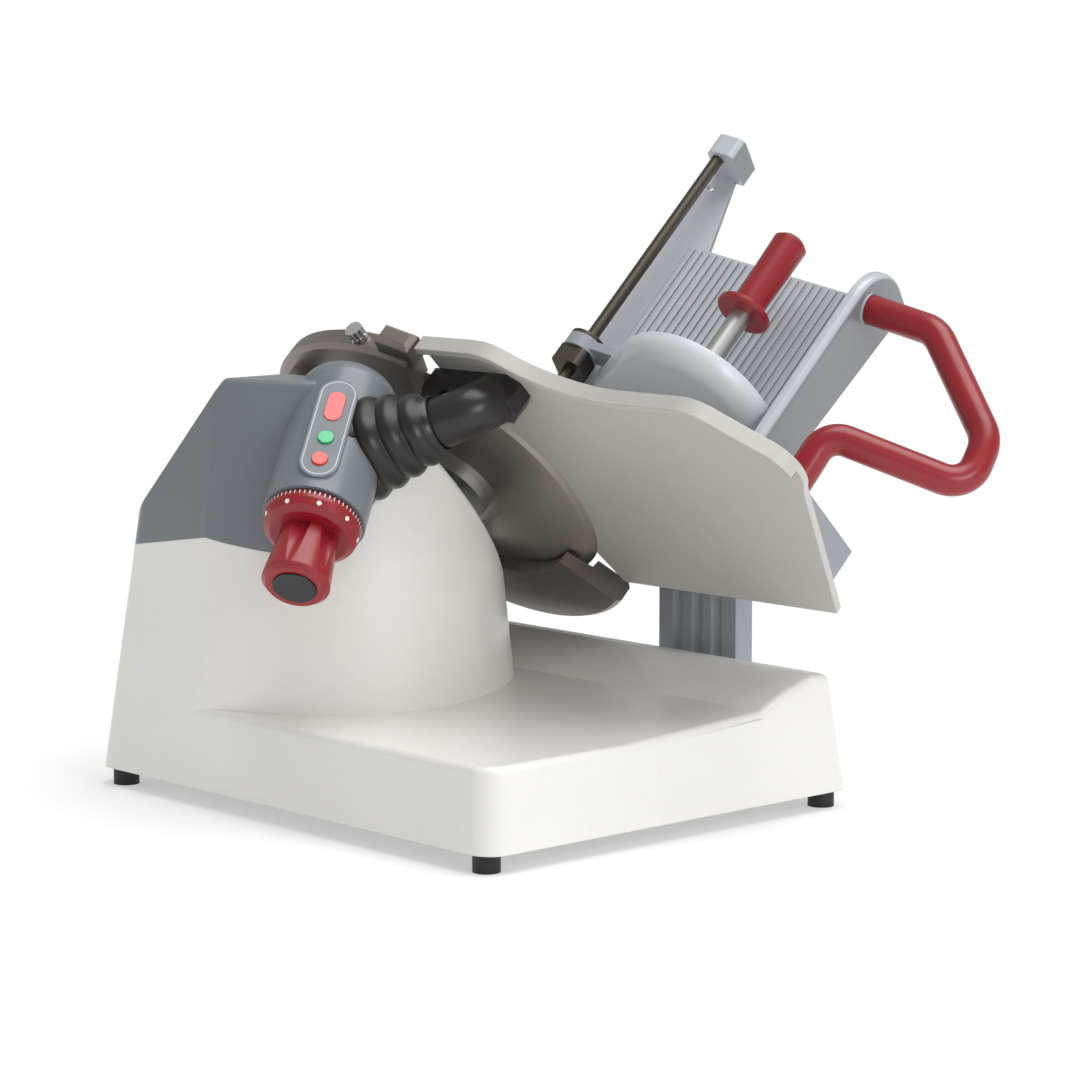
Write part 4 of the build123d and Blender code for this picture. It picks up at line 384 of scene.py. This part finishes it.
# Finish of each material slot, and further ones for single pieces and trim
FINISHES = {
    "white_enamel": enamel("white_enamel", tone(236, 235, 231), 0.36, 1.5, wear=0.05),
    "grey_enamel": enamel("grey_enamel", tone(116, 122, 127), 0.34, 1.5, wear=0.25),
    "panel_grey": moulded("panel_grey", tone(124, 130, 135), 0.36, 0.8, grain=1400.0, depth=0.015),
    # The lens and the two buttons carry a painted glow
    "red_lens": painted_glow_cap("red_lens", tone(226, 62, 60), painted_glow=0.12),
    "green_button": painted_glow_cap("green_button", tone(0, 176, 104), painted_glow=0.12),
    "red_button": painted_glow_cap("red_button", tone(238, 52, 42), painted_glow=0.12),
    "knife_steel": knife_turned("knife_steel", tone(204, 198, 194), 0.2, 0.4, metallic=0.84),
    "sheet_steel": metal("sheet_steel", tone(190, 190, 188), 0.28, 0.6, stretch=(1.0, 12.0, 12.0)),
    "screw_steel": metal("screw_steel", tone(200, 198, 192), 0.22, 0.4),
    "dark_screw": metal("dark_screw", tone(48, 46, 46), 0.4, 0.4),
    "bronzed_rod": metal("bronzed_rod", tone(98, 92, 84), 0.26, 0.8, stretch=(10.0, 10.0, 1.0)),
    "cast_metal": metal("cast_metal", tone(150, 150, 148), 0.42, 1.0, grain=260.0, depth=0.05),
    "motor_enamel": enamel("motor_enamel", tone(70, 74, 80), 0.4, 1.5, wear=0.2),
    "guard_metal": knife_turned("guard_metal", tone(140, 133, 129), 0.3, 1.2, metallic=0.8),
    "chrome": metal("chrome", tone(228, 228, 226), 0.05, 0.6, depth=0.003),
    "gauge_metal": enamel("gauge_metal", tone(194, 192, 187), 0.32, 1.5, wear=0.3, metallic=0.1),
    "table_grey": enamel("table_grey", tone(158, 163, 170), 0.34, 1.6, wear=0.3, metallic=0.1),
    # The tray's outward-facing sides carry a painted shade
    "tray_grey": enamel("tray_grey", tone(192, 197, 203), 0.34, 1.6, wear=0.2, metallic=0.1,
                        painted_shade_side=TRAY_OUTSIDE),
    "pusher_grey": enamel("pusher_grey", tone(220, 224, 229), 0.36, 1.6, wear=0.2, metallic=0.1),
    "black_plastic": moulded("black_plastic", tone(36, 33, 34), 0.26, 2.0),
    "black_rubber": rubber("black_rubber", tone(26, 24, 24), 0.3, 0.8),
    "foot_rubber": rubber("foot_rubber", tone(24, 23, 23), 0.5, 1.2),
    "red_plastic": moulded("red_plastic", tone(148, 22, 30), 0.3, 2.0, grain=1000.0, depth=0.03,
                           coat=0.15),
    "brass": metal("brass", tone(188, 150, 86), 0.3, 0.5),
    "white_print": moulded("white_print", tone(240, 238, 232), 0.45, 0.2, grain=1800.0, depth=0.01),
    "pale_print": moulded("pale_print", tone(196, 200, 204), 0.45, 0.2, grain=1800.0, depth=0.01),
}

OWN_FINISH = {
    "gauge_screws": "dark_screw",
    "pusher_rod": "bronzed_rod",
    "pusher_slider": "bronzed_rod",
    "product_tray": "tray_grey",
    "pusher_plate": "pusher_grey",
}


def finish_nodes():
    """Gives every CAD piece the finish of its slot or its own."""
    for row in frame["record"]["subparts"]:
        piece = frame["nodes"].get(row["node"])
        piece.data.materials.clear()
        finish = OWN_FINISH.get(row["node"], row["material_slot"])
        piece.data.materials.append(FINISHES[finish])


def put_in(item):
    """Puts an object into the scene."""
    bpy.context.scene.collection.objects.link(item)


def mesh_object(name, bm):
    """Object at the origin from a bmesh, which is used up."""
    mesh = bpy.data.meshes.new(name)
    bm.to_mesh(mesh)
    bm.free()
    made = bpy.data.objects.new(name, mesh)
    put_in(made)
    return made


def shell_object(name, bm, finish, place, smooth):
    """Finished object from a bmesh in millimetres, with its place in its mesh."""
    bmesh.ops.transform(bm, matrix=place, verts=bm.verts)
    made = mesh_object(name, bm)
    for face in made.data.polygons:
        face.use_smooth = smooth
    made.data.materials.append(FINISHES[finish])
    return made


def verts_of(geometry):
    return [item for item in geometry if isinstance(item, bmesh.types.BMVert)]


def edges_of(geometry):
    return [item for item in geometry if isinstance(item, bmesh.types.BMEdge)]


def boot_stations():
    """Sections from the boot's foot to its cuff: middle, half widths and squareness."""
    stations = []
    rings = BOOT_RIBS * BOOT_RINGS_PER_RIB
    for i in range(rings + 1):
        share = i / rings
        rest = 1 - share
        wave = 0.5 - 0.5 * cos(2 * pi * BOOT_RIBS * share)
        swell = BOOT_RIB * wave ** BOOT_CREST
        wide = BOOT_LONG + (BOOT_CUFF_RADIUS - BOOT_LONG) * share + swell
        narrow = BOOT_SHORT + (BOOT_CUFF_RADIUS - BOOT_SHORT) * share + swell
        along = BOOT_START + BOOT_RIBS * BOOT_PITCH * share
        middle = (BOOT_SHIFT[0] * rest, BOOT_SHIFT[1] * rest, along)
        stations.append((middle, wide, narrow, OVAL_POWER + BOOT_SQUARENESS * rest))
    cuff_middle = (0.0, 0.0, BOOT_CUFF_END)
    stations.append((cuff_middle, BOOT_CUFF_RADIUS, BOOT_CUFF_RADIUS, OVAL_POWER))
    return stations


def place_section(ring, old, new):
    """Moves a ring of vertices from one section of the boot to the next."""
    old_middle, old_wide, old_narrow = old[:3]
    middle, wide, narrow, power = new
    for vert in ring:
        across = (vert.co.x - old_middle[0]) / old_wide
        up = (vert.co.y - old_middle[1]) / old_narrow
        angle = atan2(up, across)
        reach = (abs(cos(angle)) ** power + abs(sin(angle)) ** power) ** (-1 / power)
        offset = (wide * reach * cos(angle), narrow * reach * sin(angle), 0.0)
        vert.co = Vector(middle) + Vector(offset)


def round_form(radii, reach, segments):
    """Round form along its own axis that leaves a seat's room round a CAD form."""
    bm = bmesh.new()
    bmesh.ops.create_cone(bm, cap_ends=True, segments=segments, radius1=radii[0] + SEAT,
                          radius2=radii[1] + SEAT, depth=reach[1] - reach[0],
                          matrix=Matrix.Translation((0, 0, sum(reach) / 2)))
    return bm


def cut_away(piece, name, bm, place):
    """Takes the form in a bmesh away from a piece for good."""
    bmesh.ops.transform(bm, matrix=place, verts=bm.verts)
    cutter = mesh_object(name, bm)
    cut = piece.modifiers.new(name, "BOOLEAN")
    cut.operation = "DIFFERENCE"
    cut.solver = "EXACT"
    cut.object = cutter
    graph = bpy.context.evaluated_depsgraph_get()
    trimmed = bpy.data.meshes.new_from_object(piece.evaluated_get(graph))
    piece.modifiers.clear()
    piece.data = trimmed
    bpy.data.objects.remove(cutter)


def boot():
    """Ribbed rubber boot from the gauge housing to the elbow, fitted to the housing's round sides."""
    bm = bmesh.new()
    ring = bmesh.ops.create_circle(bm, radius=1.0, segments=BOOT_SEGMENTS)["verts"]
    edges = list(bm.edges)
    unit_circle = ((0.0, 0.0, 0.0), 1.0, 1.0, OVAL_POWER)
    stations = boot_stations()
    place_section(ring, unit_circle, stations[0])
    for old, new in zip(stations, stations[1:]):
        grown = bmesh.ops.extrude_edge_only(bm, edges=edges)["geom"]
        ring = verts_of(grown)
        edges = [edge for edge in edges_of(grown) if all(vert in ring for vert in edge.verts)]
        place_section(ring, old, new)
    bmesh.ops.recalc_face_normals(bm, faces=bm.faces)
    bmesh.ops.solidify(bm, geom=bm.faces, thickness=BOOT_SHEET)
    along = Vector(ARM_ELBOW) - Vector(ARM_EXIT)
    place = set_at(ARM_EXIT, BOOT_OVAL, along)
    made = shell_object("rubber_boot", bm, "black_rubber", place, smooth=True)
    housing_end = round_form((CYLINDER_RADIUS, CYLINDER_RADIUS), CYLINDER_REACH, CYLINDER_SEGMENTS)
    cut_away(made, "housing_end_form", housing_end, set_at(INDEX_END, INDEX_UP, INDEX_AXIS))
    tower = round_form(TOWER_RADII, (0.0, TOWER_HEIGHT), TOWER_SEGMENTS)
    cut_away(made, "tower_form", tower, set_at(TOWER_MIDDLE, (1, 0, 0), (0, 0, 1)))
    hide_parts("gauge_boot")
    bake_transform(made)


def dial_marks():
    """White scale on the index dial: strokes along its rim and round marks on its shoulder."""
    bm = bmesh.new()
    stroke_place = Matrix.Translation((DIAL_RADIUS, 0, DIAL_END - DIAL_STROKE_INSET))
    stroke = stroke_place @ Matrix.Diagonal(DIAL_STROKE_SIZE + (1.0,))
    for i in range(DIAL_STROKES):
        turn = Matrix.Rotation(radians(360 * (i + 0.5) / DIAL_STROKES), 4, "Z")
        bmesh.ops.create_cube(bm, size=1.0, matrix=turn @ stroke)
    lean = Matrix.Rotation(radians(90 + DIAL_DOT_LEAN), 4, "Y")
    dot = Matrix.Translation((DIAL_DOT_RADIUS, 0, DIAL_DOT_DEPTH)) @ lean
    for i in range(DIAL_DOTS):
        turn = Matrix.Rotation(radians(DIAL_DOT_TURN + 360 * i / DIAL_DOTS), 4, "Z")
        bmesh.ops.create_cone(bm, cap_ends=True, segments=DIAL_DOT_SEGMENTS,
                              radius1=DIAL_DOT_FOOT, radius2=DIAL_DOT_TOP,
                              depth=DIAL_DOT_HEIGHT, matrix=turn @ dot)
    place = set_at(INDEX_END, INDEX_UP, INDEX_AXIS)
    made = shell_object("dial_marks", bm, "white_print", place, smooth=False)
    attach(made, "index")


def panel_line():
    """Thin raised line round the control panel's long rounded shape."""
    bm = bmesh.new()
    bmesh.ops.create_circle(bm, cap_ends=True, radius=LINE_WIDTH / 2, segments=LINE_SEGMENTS)
    offset = (LINE_LENGTH - LINE_WIDTH) / 2
    for sign in (-1, 1):
        half = [vert for vert in bm.verts if vert.co.y * sign > MIDDLE_GAP]
        bmesh.ops.translate(bm, verts=half, vec=(0, sign * offset, 0))
    bmesh.ops.inset_region(bm, faces=bm.faces, thickness=LINE_THICKNESS, use_boundary=True,
                           use_even_offset=True)
    inner = max(bm.faces, key=lambda face: face.calc_area())
    bmesh.ops.delete(bm, geom=[inner], context="FACES_ONLY")
    grown = bmesh.ops.extrude_face_region(bm, geom=list(bm.faces))["geom"]
    bmesh.ops.translate(bm, verts=verts_of(grown), vec=(0, 0, LINE_HEIGHT))
    bmesh.ops.recalc_face_normals(bm, faces=bm.faces)
    place = set_at(PANEL_MIDDLE, PANEL_ACROSS, PANEL_FACING)
    made = shell_object("panel_line", bm, "pale_print", place, smooth=False)
    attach(made, "base")


def photo_camera():
    """Camera at the photograph's place and angle."""
    data = bpy.data.cameras.new("photo_camera")
    data.lens = CAMERA_LENS
    data.sensor_width = CAMERA_SENSOR
    camera = bpy.data.objects.new("photo_camera", data)
    camera.location = at(CAMERA_PLACE)
    camera.rotation_euler = (radians(90 - CAMERA_DROP), 0, radians(CAMERA_TURN))
    put_in(camera)
    bpy.context.scene.camera = camera


def strip_light():
    """Square soft light in front, aimed at the tower."""
    data = bpy.data.lights.new("strip", "AREA")
    data.shape = "SQUARE"
    data.size = STRIP_SIZE
    data.energy = STRIP_POWER
    light = bpy.data.objects.new("strip", data)
    light.location = STRIP_PLACE
    aim = Vector(STRIP_AIM) - Vector(STRIP_PLACE)
    light.rotation_euler = aim.to_track_quat("-Z", "Y").to_euler()
    put_in(light)


def sun():
    """Far soft light from above."""
    data = bpy.data.lights.new("key", "SUN")
    data.angle = radians(SUN_SPREAD)
    data.energy = SUN_STRENGTH
    light = bpy.data.objects.new("key", data)
    light.rotation_euler = Vector(SUN_FROM).to_track_quat("Z", "Y").to_euler()
    put_in(light)


def surroundings():
    """White backdrop whose light on the object is lower than its own look."""
    world = bpy.data.worlds.new("studio_white")
    world.use_nodes = True
    tree = world.node_tree
    seen = tree.nodes.new("ShaderNodeLightPath")
    strength = tree.nodes.new("ShaderNodeMapRange")
    strength.inputs["To Min"].default_value = SURROUND_LIGHT
    strength.inputs["To Max"].default_value = 1.0
    backdrop = tree.nodes["Background"]
    backdrop.inputs["Color"].default_value = WHITE
    tree.links.new(seen.outputs["Is Camera Ray"], strength.inputs["Value"])
    tree.links.new(strength.outputs["Result"], backdrop.inputs["Strength"])
    bpy.context.scene.world = world


def white_floor():
    """Pale floor with a faint glow, so that it runs into the backdrop."""
    bm = bmesh.new()
    bmesh.ops.create_circle(bm, cap_ends=True, radius=FLOOR_RADIUS, segments=FLOOR_SEGMENTS)
    floor = mesh_object("floor", bm)
    paint = Paint("floor_white", {"Specular IOR Level": 0.1, "Emission Color": WHITE,
                                  "Emission Strength": FLOOR_GLOW})
    wash = paint.noise(scale=0.6, detail=2.0)
    colour = paint.mix(wash, FLOOR_DULL, FLOOR_PALE)
    paint.feed(paint.shader, {"Base Color": colour, "Roughness": 0.8 + 0.1 * wash})
    floor.data.materials.append(paint.material)


finish_nodes()
boot()
dial_marks()
panel_line()
photo_camera()
white_floor()
surroundings()
bpy.context.scene.view_settings.view_transform = "Standard"
sun()
strip_light()
